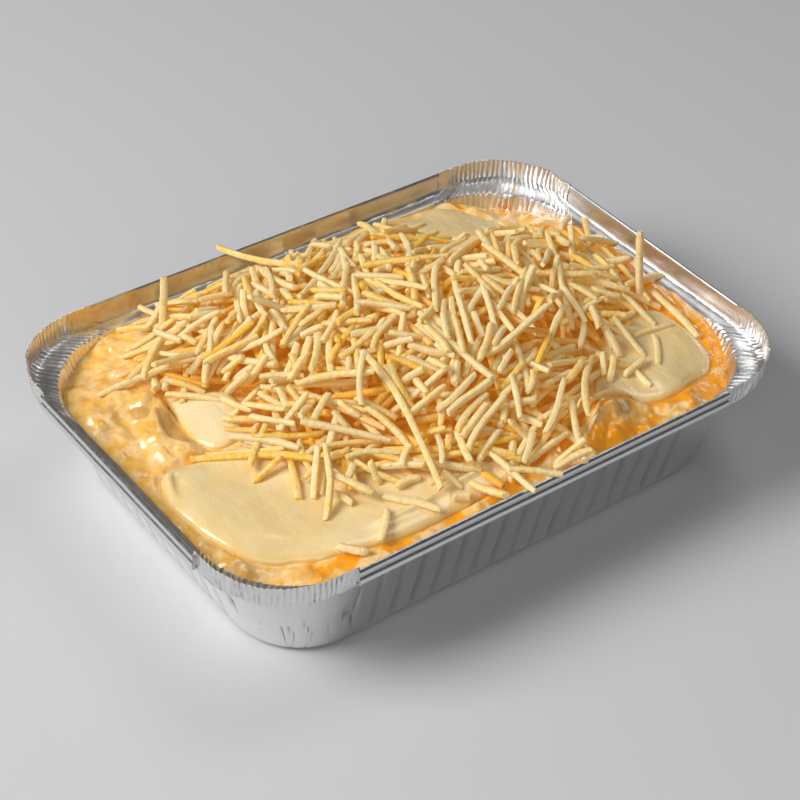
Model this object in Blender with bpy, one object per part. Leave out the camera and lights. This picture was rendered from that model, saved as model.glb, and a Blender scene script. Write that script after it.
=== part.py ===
"""Foil tray of creamy shredded chicken with melted cheese slices and a heap of shoestring potatoes.

Lengths are millimetres and become Blender's metres when a mesh is made. The origin is the centre
of the tray's base, +X runs along the tray's long side and +Z is up.
"""
import math
import random

import bmesh
import bpy
import numpy as np

MM = 0.001
WELD = 0.0002 * MM
SEED = 42
GAP = 0.35

# Tray: outer wall line at the base and under the ledge, as half length, half width, corner radius.
BASE_LINE = np.array([91.4, 62.8, 23.8])
LEDGE_LINE = np.array([103.4, 71.3, 33.3])
FOIL = 0.8
FLOOR_THICKNESS = 0.6
LEDGE_Z = 36.9
LEDGE_UNDER_Z = 36.3
RIM_OUTER = np.array([110.0, 77.9, 28.2])
RIM_TOP_Z = 44.1
CORNER_TOP_Z = 45.0
HEM_HALF_LONG = 73.4
HEM_HALF_SHORT = 44.6
HEM_STEP = 0.4
CORNER_STEPS = 12
PLEAT_DEPTH = 0.5
FLUTE_PITCH = 8.0
FLUTE_DEPTH = 0.45
FLUTE_COUNT_LONG = 16
FLUTE_COUNT_SHORT = 9
FLUTE_SHAPE = ((-4.0, 0.0), (1.0, 0.0), (1.8, 1.0), (3.2, 1.0))
FLUTE_LOW_Z = 3.4
FLUTE_HIGH_Z = 35.4

# Filling: level of its top under the heap, along the walls and how far the corners dip.
HEAP_LEVEL = 37.0
WALL_LEVEL = 35.2
CORNER_DIP = 6.6
FILL_COLUMNS = 44
FILL_ROWS = 30
FILL_GAP = 0.45
FILL_BOTTOM_Z = 1.0
LUMP_COUNT = 150
LUMP_HEIGHT = (0.7, 1.9)
LUMP_RADIUS = (4.2, 7.0)
CHUNKS = ((-80.0, 25.0, 8.0, 3.6), (-90.0, 44.0, 9.0, 1.8), (-84.0, 8.0, 7.0, 1.6), (36.0, -61.0, 7.0, 2.2))

# Heap of potato straws: its core's foot outline, height and the fused straws.
HEAP_CENTRE = (5.0, 0.0)
HEAP_FOOT = (
    (88, 22), (78, 32), (58, 36), (46, 48), (38, 60), (15, 62), (-20, 62), (-48, 60), (-58, 50),
    (-64, 34), (-56, 22), (-56, 8), (-60, -8), (-52, -18), (-40, -28), (-24, -42), (-14, -52),
    (0, -55), (18, -54), (36, -46), (44, -36), (58, -26), (76, -20), (88, -12), (90, 5),
)
CORE_FOOT_HEIGHT = 4.4
CORE_PEAK = 57.0
CORE_ROUNDNESS = 2.3
CORE_STATIONS = 44
CORE_RINGS = 7
STRAW_COUNT = 112
STRAW_THICKNESS = (2.3, 2.9)
STRAW_LENGTH = (24.0, 56.0)
STRAW_SINK = 1.7
STRAW_BEND = 0.06
STRAW_STEEPEST = 0.5
STRAW_LIFT = 6.0
STRAW_HEADINGS = 6
STRAW_GAP = 0.6
RIM_CLEARANCE = 1.0
HEAP_REACH = 1.1

# Cheese slices: name, centre and outline of each, and how thick they are.
CHEESE_THICKNESS = 2.0
CHEESE_EDGE = 0.9
CHEESE_GAP = 0.45
CHEESE_CLEARING = 6.5
CHEESE_SLICES = {
    "cheese_slice_front": ((-70.0, -38.0), (
        (-99, -12), (-99.5, -42), (-91, -57), (-73, -63.5), (-32, -63.5), (-8, -63), (10, -60.5),
        (-12, -57.5), (-28, -48), (-46, -35), (-58, -22), (-66, -9), (-80, -3), (-92, -4))),
    "cheese_slice_back": ((66.0, 54.0), (
        (44, 66), (57, 67.5), (69, 68), (76, 60), (83, 46), (85, 38.5), (74, 40), (62, 43.5), (51, 54))),
    "cheese_slice_right": ((74.0, -44.0), (
        (92, -23), (91.5, -40), (84, -53), (70, -60), (53, -59.5), (49, -50), (61, -35), (77, -27))),
    "cheese_slice_left": ((-69.5, 13.0), (
        (-77.5, 23), (-79, 12), (-74, 3), (-65, 0.5), (-61, 8), (-61, 20), (-67, 26.5))),
}
CHEESE_STATIONS = {"cheese_slice_front": 30}
SMALL_SLICE_STATIONS = 18
CHEESE_RINGS = 4

# Straws that lie apart on the front slice: the two ends of each on the plan, and its thickness.
LOOSE_STRAWS = (
    ((-45.0, -50.5), (-34.5, -64.5), 2.5),
    ((-47.5, -56.0), (-57.0, -65.0), 2.4),
    ((-62.0, -66.2), (-68.5, -59.5), 2.6),
    ((-57.0, -40.0), (-54.5, -47.5), 2.5),
    ((-28.0, -62.5), (-23.5, -65.0), 3.0),
)

FIELD_HALF_X = 112
FIELD_HALF_Y = 80


def smooth(value):
    """Ease from 0 to 1 as value goes from 0 to 1, level at both ends."""
    t = np.clip(value, 0.0, 1.0)
    return t * t * (3.0 - 2.0 * t)


def wall_line(z):
    """Half length, half width and corner radius of the outer wall at height z."""
    share = np.asarray(z, float)[..., None] / LEDGE_UNDER_Z
    return BASE_LINE + (LEDGE_LINE - BASE_LINE) * share


def offset_line(line, distance):
    """A rounded rectangle moved outwards by distance, all three of its measures changed alike."""
    return np.asarray(line, float) + distance


def edge_shrink(x, y, half_x, half_y, radius):
    """Scale that brings a point of a rectangle's edge onto its rounded corner."""
    x, y = np.abs(x), np.abs(y)
    core_x, core_y = half_x - radius, half_y - radius
    along = x * core_x + y * core_y
    square = x * x + y * y
    root = np.sqrt(np.maximum(along ** 2 - square * (core_x ** 2 + core_y ** 2 - radius ** 2), 0.0))
    in_corner = (x > core_x) & (y > core_y)
    return np.where(in_corner, (along + root) / np.maximum(square, 1e-9), 1.0)


def inside_distance(x, y, half_x, half_y, radius):
    """Signed distance to a rounded rectangle's outline, negative inside."""
    over_x, over_y = np.abs(x) - (half_x - radius), np.abs(y) - (half_y - radius)
    outer = np.hypot(np.maximum(over_x, 0.0), np.maximum(over_y, 0.0))
    return outer + np.minimum(np.maximum(over_x, over_y), 0.0) - radius


def closed_curve(points, stations, centre):
    """Smooth closed curve through points, read at even steps of length, as an array of x and y."""
    knots = np.array(points, float)
    count = len(knots)
    t = np.arange(count * 12) / 12.0
    index = t.astype(int)
    f = (t - index)[:, None]
    before, start, end, after = (knots[(index + shift) % count] for shift in (-1, 0, 1, 2))
    curve = 0.5 * (2 * start + (end - before) * f + (2 * before - 5 * start + 4 * end - after) * f ** 2
                   + (3 * start - before - 3 * end + after) * f ** 3)
    closed = np.vstack([curve, curve[:1]])
    length = np.concatenate([[0.0], np.cumsum(np.hypot(*np.diff(closed, axis=0).T))])
    steps = np.linspace(0.0, length[-1], stations, endpoint=False)
    read = np.stack([np.interp(steps, length, closed[:, axis]) for axis in (0, 1)], -1)
    turn = np.cross(read[0] - centre, read[1] - centre)
    return read if turn > 0 else read[::-1]


def heap_reach(x, y):
    """Distance outside the foot of the heap's core, measured away from the heap's centre."""
    curve = closed_curve(HEAP_FOOT, 180, HEAP_CENTRE) - HEAP_CENTRE
    angle = np.arctan2(curve[:, 1], curve[:, 0])
    order = np.argsort(angle)
    radius = np.hypot(curve[:, 0], curve[:, 1])[order]
    away = np.arctan2(y - HEAP_CENTRE[1], x - HEAP_CENTRE[0])
    foot = np.interp(away, angle[order], radius, period=2 * math.pi)
    return np.hypot(x - HEAP_CENTRE[0], y - HEAP_CENTRE[1]) - foot, foot


def slice_distance(x, y, outline, centre):
    """Distance outside a cheese slice's outline, zero or less inside it."""
    curve = closed_curve(outline, 120, centre)
    ends = np.roll(curve, -1, axis=0)
    px, py = x[..., None] - curve[:, 0], y[..., None] - curve[:, 1]
    ex, ey = (ends - curve).T
    share = np.clip((px * ex + py * ey) / (ex * ex + ey * ey), 0.0, 1.0)
    nearest = np.hypot(px - share * ex, py - share * ey).min(-1)
    crosses = ((curve[:, 1] > y[..., None]) != (ends[:, 1] > y[..., None]))
    at = curve[:, 0] + (y[..., None] - curve[:, 1]) * ex / np.where(ey == 0, 1e-9, ey)
    inside = (crosses & (x[..., None] < at)).sum(-1) % 2 == 1
    return np.where(inside, -nearest, nearest)


def smooth_level(x, y):
    """Top of the filling without its lumps: domed under the heap, dipping towards the corners."""
    dip = smooth((np.abs(x) - 64.0) / 36.0) * smooth((np.abs(y) - 34.0) / 32.0)
    outside, _ = heap_reach(x, y)
    towards_wall = smooth((outside - 6.5) / 16.0)
    return HEAP_LEVEL + (WALL_LEVEL - HEAP_LEVEL - CORNER_DIP * dip) * towards_wall


def filling_top(x, y):
    """Top of the filling: the smooth level with lumps of chicken where nothing lies on it."""
    draw = random.Random(SEED)
    lumps = np.zeros_like(x)
    for _ in range(LUMP_COUNT):
        cx, cy = draw.uniform(-100, 100), draw.uniform(-68, 68)
        radius, height = draw.uniform(*LUMP_RADIUS), draw.uniform(*LUMP_HEIGHT)
        lumps += height * np.exp(-((x - cx) ** 2 + (y - cy) ** 2) / radius ** 2)
    for cx, cy, radius, height in CHUNKS:
        lumps += height * np.exp(-(((x - cx) ** 2 + (y - cy) ** 2) / radius ** 2) ** 2)
    outside, _ = heap_reach(x, y)
    free = smooth((outside - CHEESE_CLEARING) / 5.0)
    for centre, outline in CHEESE_SLICES.values():
        free = free * smooth((slice_distance(x, y, outline, centre) - 1.5) / 5.0)
    return smooth_level(x, y) + lumps * free


def core_top(x, y):
    """Top of the heap's core, a broad dome that ends in a low step at its foot."""
    outside, foot = heap_reach(x, y)
    share = np.clip((outside + foot) / foot, 0.0, 1.0)
    rise = CORE_PEAK - HEAP_LEVEL - CORE_FOOT_HEIGHT
    return HEAP_LEVEL + CORE_FOOT_HEIGHT + rise * (1.0 - share ** CORE_ROUNDNESS)


def cheese_top(x, y, inward):
    """Top of a slice that lies on the filling, thinner at its edge; inward is the depth inside it."""
    thickness = CHEESE_EDGE + (CHEESE_THICKNESS - CHEESE_EDGE) * smooth(inward / 6.0)
    return smooth_level(x, y) + CHEESE_GAP + thickness


def material(name, color, roughness, metallic=0.0):
    """A Principled material."""
    made = bpy.data.materials.new(name)
    made.use_nodes = True
    shader = made.node_tree.nodes["Principled BSDF"]
    shader.inputs["Base Color"].default_value = (*color, 1.0)
    shader.inputs["Roughness"].default_value = roughness
    shader.inputs["Metallic"].default_value = metallic
    return made


def add_object(name, vertices, faces, finish, smooth_faces=True):
    """Make a named object from vertices in millimetres and turn its faces outwards."""
    mesh = bpy.data.meshes.new(name)
    mesh.from_pydata([tuple(v * MM for v in point) for point in vertices], [], faces)
    shell = bmesh.new()
    shell.from_mesh(mesh)
    bmesh.ops.recalc_face_normals(shell, faces=shell.faces)
    shell.to_mesh(mesh)
    shell.free()
    if smooth_faces:
        mesh.shade_smooth()
        mesh.set_sharp_from_angle(angle=math.radians(40))
    mesh.materials.append(finish)
    made = bpy.data.objects.new(name, mesh)
    bpy.context.collection.objects.link(made)
    return made


class Rings:
    """Closed rings of points, stacked and joined into one skin with a cap at each end."""

    def __init__(self):
        self.vertices = []
        self.faces = []
        self.last = None

    def add(self, parameters, points):
        """Add a ring, given where each point is along it, and join it to the ring before."""
        first = len(self.vertices)
        self.vertices.extend(map(tuple, points))
        ring = (list(parameters), list(range(first, first + len(points))))
        if self.last is not None:
            self.zip(self.last, ring)
        self.last = ring
        return ring

    def zip(self, low, high):
        """Join two rings with triangles, always taking the shorter step along them."""
        span = 8.0
        low_t, high_t = low[0] + [low[0][0] + span], high[0] + [high[0][0] + span]
        low_v, high_v = low[1] + low[1][:1], high[1] + high[1][:1]
        i = j = 0
        while i < len(low[1]) or j < len(high[1]):
            step_low = i < len(low[1]) and (j == len(high[1]) or low_t[i + 1] <= high_t[j + 1])
            if step_low:
                self.faces.append((low_v[i], low_v[i + 1], high_v[j]))
                i += 1
            else:
                self.faces.append((low_v[i], high_v[j + 1], high_v[j]))
                j += 1

    def cap(self, ring, downwards=False):
        """Close a ring with one face."""
        self.faces.append(tuple(reversed(ring[1])) if downwards else tuple(ring[1]))


def side_place(side, line, along):
    """Point on a side of a rounded rectangle; along runs anticlockwise from the side's middle."""
    half_x, half_y, _ = line
    return ((-along, half_y), (-half_x, -along), (along, -half_y), (half_x, along))[side]


def corner_place(corner, line, share):
    """Point on a corner's arc, share going from 0 at its start to 1 at its end."""
    half_x, half_y, radius = line
    angle = (corner + share) * math.pi / 2
    sign_x, sign_y = ((1, 1), (-1, 1), (-1, -1), (1, -1))[corner]
    return (sign_x * (half_x - radius) + radius * math.cos(angle),
            sign_y * (half_y - radius) + radius * math.sin(angle))


def straight_half(side, line):
    """Half the straight length of a side."""
    return line[0] - line[2] if side % 2 == 0 else line[1] - line[2]


def plain_ring(corner_profile, hem_profile):
    """Ring with a hem on the straight sides only: each profile is a line and a height."""
    parameters, points = [], []
    for quarter in range(4):
        line, z = corner_profile
        for step in range(CORNER_STEPS + 1):
            pleat = PLEAT_DEPTH if step % 2 and z > LEDGE_UNDER_Z and line[0] > LEDGE_LINE[0] else 0.0
            parameters.append(2 * quarter + step / CORNER_STEPS)
            points.append((*corner_place(quarter, offset_line(line, -pleat), step / CORNER_STEPS), z - pleat))
        hem_end = HEM_HALF_LONG if quarter % 2 == 0 else HEM_HALF_SHORT
        rim_half = straight_half(quarter, RIM_OUTER)
        for share, hemmed in ((-hem_end - HEM_STEP, False), (-hem_end, True), (0.0, True),
                              (hem_end, True), (hem_end + HEM_STEP, False)):
            side_line, side_z = hem_profile if hemmed else corner_profile
            fraction = share / rim_half
            parameters.append(2 * quarter + 1.5 + fraction / 2)
            points.append((*side_place(quarter, side_line, fraction * straight_half(quarter, side_line)), side_z))
    return parameters, points


def fluted_ring(z):
    """Ring of the outer wall with its upright flutes pressed inwards."""
    line = wall_line(z)
    parameters, points = [], []
    for quarter in range(4):
        for step in range(CORNER_STEPS + 1):
            parameters.append(2 * quarter + step / CORNER_STEPS)
            points.append((*corner_place(quarter, line, step / CORNER_STEPS), z))
        count = FLUTE_COUNT_LONG if quarter % 2 == 0 else FLUTE_COUNT_SHORT
        half = straight_half(quarter, line)
        for flute in range(count):
            middle = (flute - (count - 1) / 2) * FLUTE_PITCH
            for shift, depth in FLUTE_SHAPE:
                along = middle + shift
                pressed = offset_line(line, -FLUTE_DEPTH * depth)
                parameters.append(2 * quarter + 1.5 + along / half / 2)
                points.append((*side_place(quarter, pressed, along), z))
    return parameters, points


def build_tray(finish):
    """Foil tray: flat base, fluted sloping wall, ledge, and an upstand with hemmed straight sides."""
    skin = Rings()
    outer = [(offset_line(wall_line(0.0), -2.2), 0.0), (offset_line(wall_line(0.0), -0.6), 0.6),
             (wall_line(2.4), 2.4)]
    bottom = None
    for line, z in outer:
        ring = skin.add(*plain_ring((line, z), (line, z)))
        bottom = bottom or ring
    for z in (FLUTE_LOW_Z, FLUTE_HIGH_Z):
        skin.add(*fluted_ring(z))
    ledge_outer = offset_line(RIM_OUTER, -2.4)
    ledge_outer[2] = 29.8
    corner_line = offset_line(RIM_OUTER, -1.2)
    corner_line[2] = RIM_OUTER[2]
    hem = RIM_OUTER
    rim = [
        ((LEDGE_LINE, LEDGE_UNDER_Z), (LEDGE_LINE, LEDGE_UNDER_Z)),
        ((ledge_outer, LEDGE_UNDER_Z), (ledge_outer, LEDGE_UNDER_Z)),
        ((offset_line(corner_line, -0.9), 38.6), (offset_line(hem, -1.9), 38.6)),
        ((offset_line(corner_line, -0.8), 39.4), (offset_line(hem, -0.7), 38.2)),
        ((offset_line(corner_line, -0.6), 41.0), (hem, 40.6)),
        ((offset_line(corner_line, -0.3), 43.2), (offset_line(hem, -0.1), 43.3)),
        ((corner_line, CORNER_TOP_Z), (offset_line(hem, -0.5), RIM_TOP_Z)),
        ((offset_line(corner_line, -0.7), CORNER_TOP_Z), (offset_line(hem, -1.4), RIM_TOP_Z)),
        ((offset_line(corner_line, -0.9), 43.6), (offset_line(hem, -1.9), 43.4)),
        ((offset_line(ledge_outer, -0.7), LEDGE_Z), (offset_line(ledge_outer, -0.7), LEDGE_Z)),
        ((offset_line(LEDGE_LINE, -FOIL), LEDGE_Z), (offset_line(LEDGE_LINE, -FOIL), LEDGE_Z)),
        ((offset_line(wall_line(3.0), -0.9), 3.0),) * 2,
        ((offset_line(wall_line(0.0), -2.4), FLOOR_THICKNESS),) * 2,
    ]
    for corner_profile, hem_profile in rim:
        top = skin.add(*plain_ring(corner_profile, hem_profile))
    skin.cap(bottom, downwards=True)
    skin.cap(top)
    return add_object("foil_tray", skin.vertices, skin.faces, finish)


def fill_grid(columns, rows):
    """Even grid over the inside of the tray, squared at the middle and rounded at the wall."""
    u, v = np.meshgrid(np.linspace(-1, 1, columns + 1), np.linspace(-1, 1, rows + 1))
    reach = np.maximum(np.maximum(np.abs(u), np.abs(v)), 1e-9)
    z = np.full_like(u, WALL_LEVEL)
    for _ in range(3):
        line = offset_line(wall_line(z), -FOIL - FILL_GAP)
        half_x, half_y, radius = line[..., 0], line[..., 1], line[..., 2]
        shrink = edge_shrink(u / reach * half_x, v / reach * half_y, half_x, half_y, radius)
        x, y = u * half_x * shrink, v * half_y * shrink
        z = filling_top(x, y)
    return x, y, z


def grid_border(columns, rows):
    """Indices of a grid's border in anticlockwise order, starting at the middle of the +X side."""
    wide = columns + 1
    order = [r * wide + columns for r in range(rows // 2, rows)]
    order += [rows * wide + c for c in range(columns, 0, -1)]
    order += [r * wide for r in range(rows, 0, -1)]
    order += list(range(columns))
    order += [r * wide + columns for r in range(rows // 2)]
    return order


def build_filling(finish):
    """Chicken in cream that fills the tray, lumpy where it shows."""
    x, y, z = fill_grid(FILL_COLUMNS, FILL_ROWS)
    skin = Rings()
    top = np.stack([x.ravel(), y.ravel(), z.ravel()], -1)
    lower = []
    for line, height in ((offset_line(wall_line(0.0), -2.8), FILL_BOTTOM_Z),
                         (offset_line(wall_line(3.3), -1.3), 3.3)):
        parameters, points = [], []
        for quarter in range(4):
            for step in range(9):
                parameters.append(2 * quarter + step / 8)
                points.append((*corner_place(quarter, line, step / 8), height))
        lower.append(skin.add(parameters, points))
    skin.cap(lower[0], downwards=True)
    first = len(skin.vertices)
    skin.vertices.extend(map(tuple, top))
    border = grid_border(FILL_COLUMNS, FILL_ROWS)
    line = offset_line(wall_line(WALL_LEVEL), -FOIL - FILL_GAP)
    parameters = [outline_parameter(top[i], line) for i in border]
    start = int(np.argmin(parameters))
    order = border[start:] + border[:start]
    skin.zip(skin.last, ([outline_parameter(top[i], line) for i in order], [first + i for i in order]))
    wide = FILL_COLUMNS + 1
    for row in range(FILL_ROWS):
        for column in range(FILL_COLUMNS):
            a = first + row * wide + column
            skin.faces.append((a, a + 1, a + wide + 1, a + wide))
    return add_object("chicken_filling", skin.vertices, skin.faces, finish)


def outline_parameter(point, line):
    """Where a point of a rounded rectangle's outline is along it, from 0 to 8."""
    x, y = point[0], point[1]
    core_x, core_y = line[0] - line[2], line[1] - line[2]
    if abs(x) > core_x and abs(y) > core_y:
        angle = math.atan2(y - math.copysign(core_y, y), x - math.copysign(core_x, x)) % (2 * math.pi)
        quarter = int(angle // (math.pi / 2))
        return 2 * quarter + (angle - quarter * math.pi / 2) / (math.pi / 2)
    if abs(y) > core_y:
        return 2.0 - x / core_x / 2 - 0.5 if y > 0 else 5.5 + x / core_x / 2
    return 3.5 - y / core_y / 2 if x < 0 else 7.5 + y / core_y / 2


def build_slice(name, finish):
    """Thin slice of melted cheese that follows the filling under it."""
    centre, outline = CHEESE_SLICES[name]
    stations = CHEESE_STATIONS.get(name, SMALL_SLICE_STATIONS)
    edge = closed_curve(outline, stations, centre)
    shares = [1.0 - (ring / CHEESE_RINGS) for ring in range(CHEESE_RINGS)]
    vertices, faces, rings = [], [], []
    for upper in (False, True):
        levels = []
        for share in (shares[::-1] if upper is False else shares):
            points = np.array(centre) + (edge - centre) * share
            inward = (1.0 - share) * np.hypot(*(edge - centre).T)
            base = smooth_level(points[:, 0], points[:, 1]) + CHEESE_GAP
            z = cheese_top(points[:, 0], points[:, 1], inward) if upper else base
            levels.append(list(range(len(vertices), len(vertices) + stations)))
            vertices.extend(map(tuple, np.column_stack([points, z])))
        rings.append(levels)
    chain = rings[0] + rings[1]
    for low, high in zip(chain, chain[1:]):
        for i in range(stations):
            j = (i + 1) % stations
            faces.append((low[i], low[j], high[j], high[i]))
    for ring, sign in ((chain[0], -1), (chain[-1], 1)):
        at = np.array([[centre[0]], [centre[1]]])
        z = smooth_level(*at)[0] + CHEESE_GAP + (CHEESE_THICKNESS if sign > 0 else 0.0)
        middle = len(vertices)
        vertices.append((centre[0], centre[1], z))
        for i in range(stations):
            j = (i + 1) % stations
            faces.append((ring[i], ring[j], middle) if sign > 0 else (ring[j], ring[i], middle))
    return add_object(name, vertices, faces, finish)


class Terrain:
    """Heights over the tray, read under each straw as it is laid down."""

    def __init__(self):
        self.x, self.y = np.meshgrid(np.arange(-FIELD_HALF_X, FIELD_HALF_X + 1.0),
                                     np.arange(-FIELD_HALF_Y, FIELD_HALF_Y + 1.0))
        outside, _ = heap_reach(self.x, self.y)
        self.fused = np.where(outside < -0.5, core_top(self.x, self.y), -100.0)
        keep = filling_top(self.x, self.y)
        for centre, outline in CHEESE_SLICES.values():
            away = slice_distance(self.x, self.y, outline, centre)
            keep = np.where(away < 1.2, np.maximum(keep, cheese_top(self.x, self.y, -away)), keep)
        ledge = offset_line(LEDGE_LINE, -FOIL)
        at_wall = inside_distance(self.x, self.y, *ledge) > -RIM_CLEARANCE
        keep = np.where(at_wall, np.maximum(keep, LEDGE_Z + 0.2), keep)
        at_rim = inside_distance(self.x, self.y, *offset_line(RIM_OUTER, -2.4)) > -RIM_CLEARANCE
        keep = np.where(at_rim, CORNER_TOP_Z + 0.2, keep)
        self.keep = np.where(outside < 0.8, HEAP_LEVEL - 5.0, keep + STRAW_GAP)

    def read(self, heights, x, y):
        """Highest of the cells round each place."""
        column = np.rint(x).astype(int) + FIELD_HALF_X
        row = np.rint(y).astype(int) + FIELD_HALF_Y
        around = [heights[np.clip(row + i, 0, heights.shape[0] - 1), np.clip(column + j, 0, heights.shape[1] - 1)]
                  for i in (-1, 0, 1) for j in (-1, 0, 1)]
        return np.max(around, axis=0)

    def rest(self, start, end, sink):
        """Lowest level line from start to end: heights of its two ends and if it touches the heap."""
        length = math.hypot(end[0] - start[0], end[1] - start[1])
        along = np.linspace(-0.5, 0.5, max(int(length), 6) + 1)
        x = (start[0] + end[0]) / 2 + along * (end[0] - start[0])
        y = (start[1] + end[1]) / 2 + along * (end[1] - start[1])
        fused, keep = self.read(self.fused, x, y) - sink, self.read(self.keep, x, y)
        level = np.maximum(fused, keep)
        left, right = np.nonzero(along < 0)[0], np.nonzero(along >= 0)[0]
        a, b = along[left][:, None], along[right][None, :]
        middle = (level[left][:, None] * b - level[right][None, :] * a) / (b - a)
        i, j = np.unravel_index(np.argmax(middle), middle.shape)
        i, j = left[i], right[j]
        slope = (level[j] - level[i]) / (along[j] - along[i])
        low = level[i] - slope * along[i]
        touches = fused[i] > keep[i] or fused[j] > keep[j]
        return low - slope / 2, low + slope / 2, abs(slope) / length, touches

    def lay(self, heights, start, end, thickness):
        """Raise the heights under a straw to its top."""
        ex, ey = end[0] - start[0], end[1] - start[1]
        share = ((self.x - start[0]) * ex + (self.y - start[1]) * ey) / (ex * ex + ey * ey)
        share = np.clip(share, 0.0, 1.0)
        away = np.hypot(self.x - start[0] - share * ex, self.y - start[1] - share * ey)
        top = start[2] + (end[2] - start[2]) * share + thickness
        return np.where(away < thickness / 2 + 0.2, np.maximum(heights, top), heights)


def straw_mesh(start, end, thickness, bend):
    """Square stick between two points, given at its underside, with one slight kink."""
    start, end = np.array(start, float), np.array(end, float)
    along = (end - start) / np.linalg.norm(end - start)
    side = np.cross((0.0, 0.0, 1.0), along)
    side /= np.linalg.norm(side)
    up = np.cross(along, side)
    middle = (start + end) / 2 + side * bend * np.linalg.norm(end - start)
    vertices, faces = [], []
    for at, width in ((start, 0.92), (middle, 1.0), (end, 0.9)):
        for across, lift in ((-0.5, 0.0), (0.5, 0.0), (0.5, 1.0), (-0.5, 1.0)):
            vertices.append(at + side * across * thickness * width + up * lift * thickness)
    for ring in (0, 4):
        for i in range(4):
            j = (i + 1) % 4
            faces.append((ring + i, ring + j, ring + 4 + j, ring + 4 + i))
    faces += [(3, 2, 1, 0), (8, 9, 10, 11)]
    return vertices, faces


def plan_straws(terrain):
    """Lay the straws on the heap one by one, longest first, spread evenly by a fixed sequence.

    Each place tries a few headings and keeps the one that lies lowest on what is there.
    """
    draw = random.Random(SEED + 1)
    lengths = sorted((draw.uniform(*STRAW_LENGTH) for _ in range(STRAW_COUNT)), reverse=True)
    curve = closed_curve(HEAP_FOOT, 90, HEAP_CENTRE) - HEAP_CENTRE
    placed, turn = [], 0
    while len(placed) < STRAW_COUNT and turn < 3000:
        turn += 1
        length = lengths[len(placed)]
        across, around = (0.5 + turn * 0.7548777) % 1.0, (0.5 + turn * 0.5698403) % 1.0
        middle = HEAP_CENTRE + curve[int(around * len(curve))] * math.sqrt(across) * HEAP_REACH
        thickness, bend = draw.uniform(*STRAW_THICKNESS), draw.uniform(-STRAW_BEND, STRAW_BEND)
        choices = []
        for _ in range(STRAW_HEADINGS):
            heading = draw.uniform(0.0, math.pi)
            half = np.array([math.cos(heading), math.sin(heading)]) * length / 2
            start, end = middle - half, middle + half
            low_start, low_end, steepness, touches = terrain.rest(start, end, STRAW_SINK)
            ends = np.array([start, end])
            far = inside_distance(ends[:, 0], ends[:, 1], *offset_line(RIM_OUTER, -2.4)).max()
            lift = (np.array([low_start, low_end]) - core_top(ends[:, 0], ends[:, 1])).max()
            near = far < -RIM_CLEARANCE - 1.0 and lift < STRAW_LIFT
            if touches and near and steepness < STRAW_STEEPEST:
                choices.append(((low_start + low_end) / 2, (*start, low_start), (*end, low_end)))
        if choices:
            _, start, end = min(choices)
            terrain.fused = terrain.lay(terrain.fused, start, end, thickness)
            placed.append((start, end, thickness, bend))
    return placed


def build_heap(terrain, finish):
    """Heap of potato straws: a core with the straws that show fused on."""
    edge = closed_curve(HEAP_FOOT, CORE_STATIONS, HEAP_CENTRE)
    centre = np.array(HEAP_CENTRE)
    skin = Rings()
    parameters = [8.0 * i / CORE_STATIONS for i in range(CORE_STATIONS)]
    bottom = skin.add(parameters, np.column_stack([edge, np.full(CORE_STATIONS, HEAP_LEVEL + GAP)]))
    for ring in range(CORE_RINGS):
        share = 1.0 - ring / CORE_RINGS * 0.9
        points = centre + (edge - centre) * share
        top = skin.add(parameters, np.column_stack([points, core_top(points[:, 0], points[:, 1])]))
    skin.cap(bottom, downwards=True)
    skin.cap(top)
    heap = add_object("potato_straws", skin.vertices, skin.faces, finish, smooth_faces=False)
    straws = bpy.data.collections.new("straws")
    bpy.context.scene.collection.children.link(straws)
    for number, (start, end, thickness, bend) in enumerate(plan_straws(terrain)):
        stick = add_object(f"straw_{number}", *straw_mesh(start, end, thickness, bend), finish, False)
        bpy.context.collection.objects.unlink(stick)
        straws.objects.link(stick)
    union = heap.modifiers.new("fuse", "BOOLEAN")
    union.operation = "UNION"
    union.operand_type = "COLLECTION"
    union.collection = straws
    union.solver = "EXACT"
    fused = bpy.data.meshes.new_from_object(heap.evaluated_get(bpy.context.evaluated_depsgraph_get()))
    heap.modifiers.clear()
    heap.data = fused
    for stick in list(straws.objects):
        bpy.data.objects.remove(stick, do_unlink=True)
    bpy.data.collections.remove(straws)
    keep_largest_body(fused)
    return heap


def keep_largest_body(mesh):
    """Weld a mesh, and drop its loose scraps and the inner shells of sealed hollows."""
    shell = bmesh.new()
    shell.from_mesh(mesh)
    bmesh.ops.remove_doubles(shell, verts=shell.verts, dist=WELD)
    bmesh.ops.dissolve_degenerate(shell, edges=shell.edges, dist=WELD)
    waiting, bodies = set(shell.faces), []
    while waiting:
        body, front = set(), [waiting.pop()]
        while front:
            face = front.pop()
            body.add(face)
            for edge in face.edges:
                for other in edge.link_faces:
                    if other in waiting:
                        waiting.remove(other)
                        front.append(other)
        bodies.append(body)
    bodies.sort(key=len, reverse=True)
    scraps = [face for body in bodies[1:] for face in body]
    bmesh.ops.delete(shell, geom=scraps, context="FACES")
    bmesh.ops.delete(shell, geom=[v for v in shell.verts if not v.link_faces], context="VERTS")
    shell.to_mesh(mesh)
    shell.free()


def build_loose_straws(terrain, finish):
    """Straws that lie apart from the heap, on the front slice and the filling."""
    for number, (start, end, thickness) in enumerate(LOOSE_STRAWS, 1):
        low_start, low_end, _, _ = terrain.rest(start, end, 0.0)
        start, end = (*start, low_start), (*end, low_end)
        add_object(f"loose_straw_{number}", *straw_mesh(start, end, thickness, 0.02), finish, False)
        raised = terrain.lay(terrain.keep, start, end, thickness + GAP + 0.3)
        terrain.keep = raised


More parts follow.
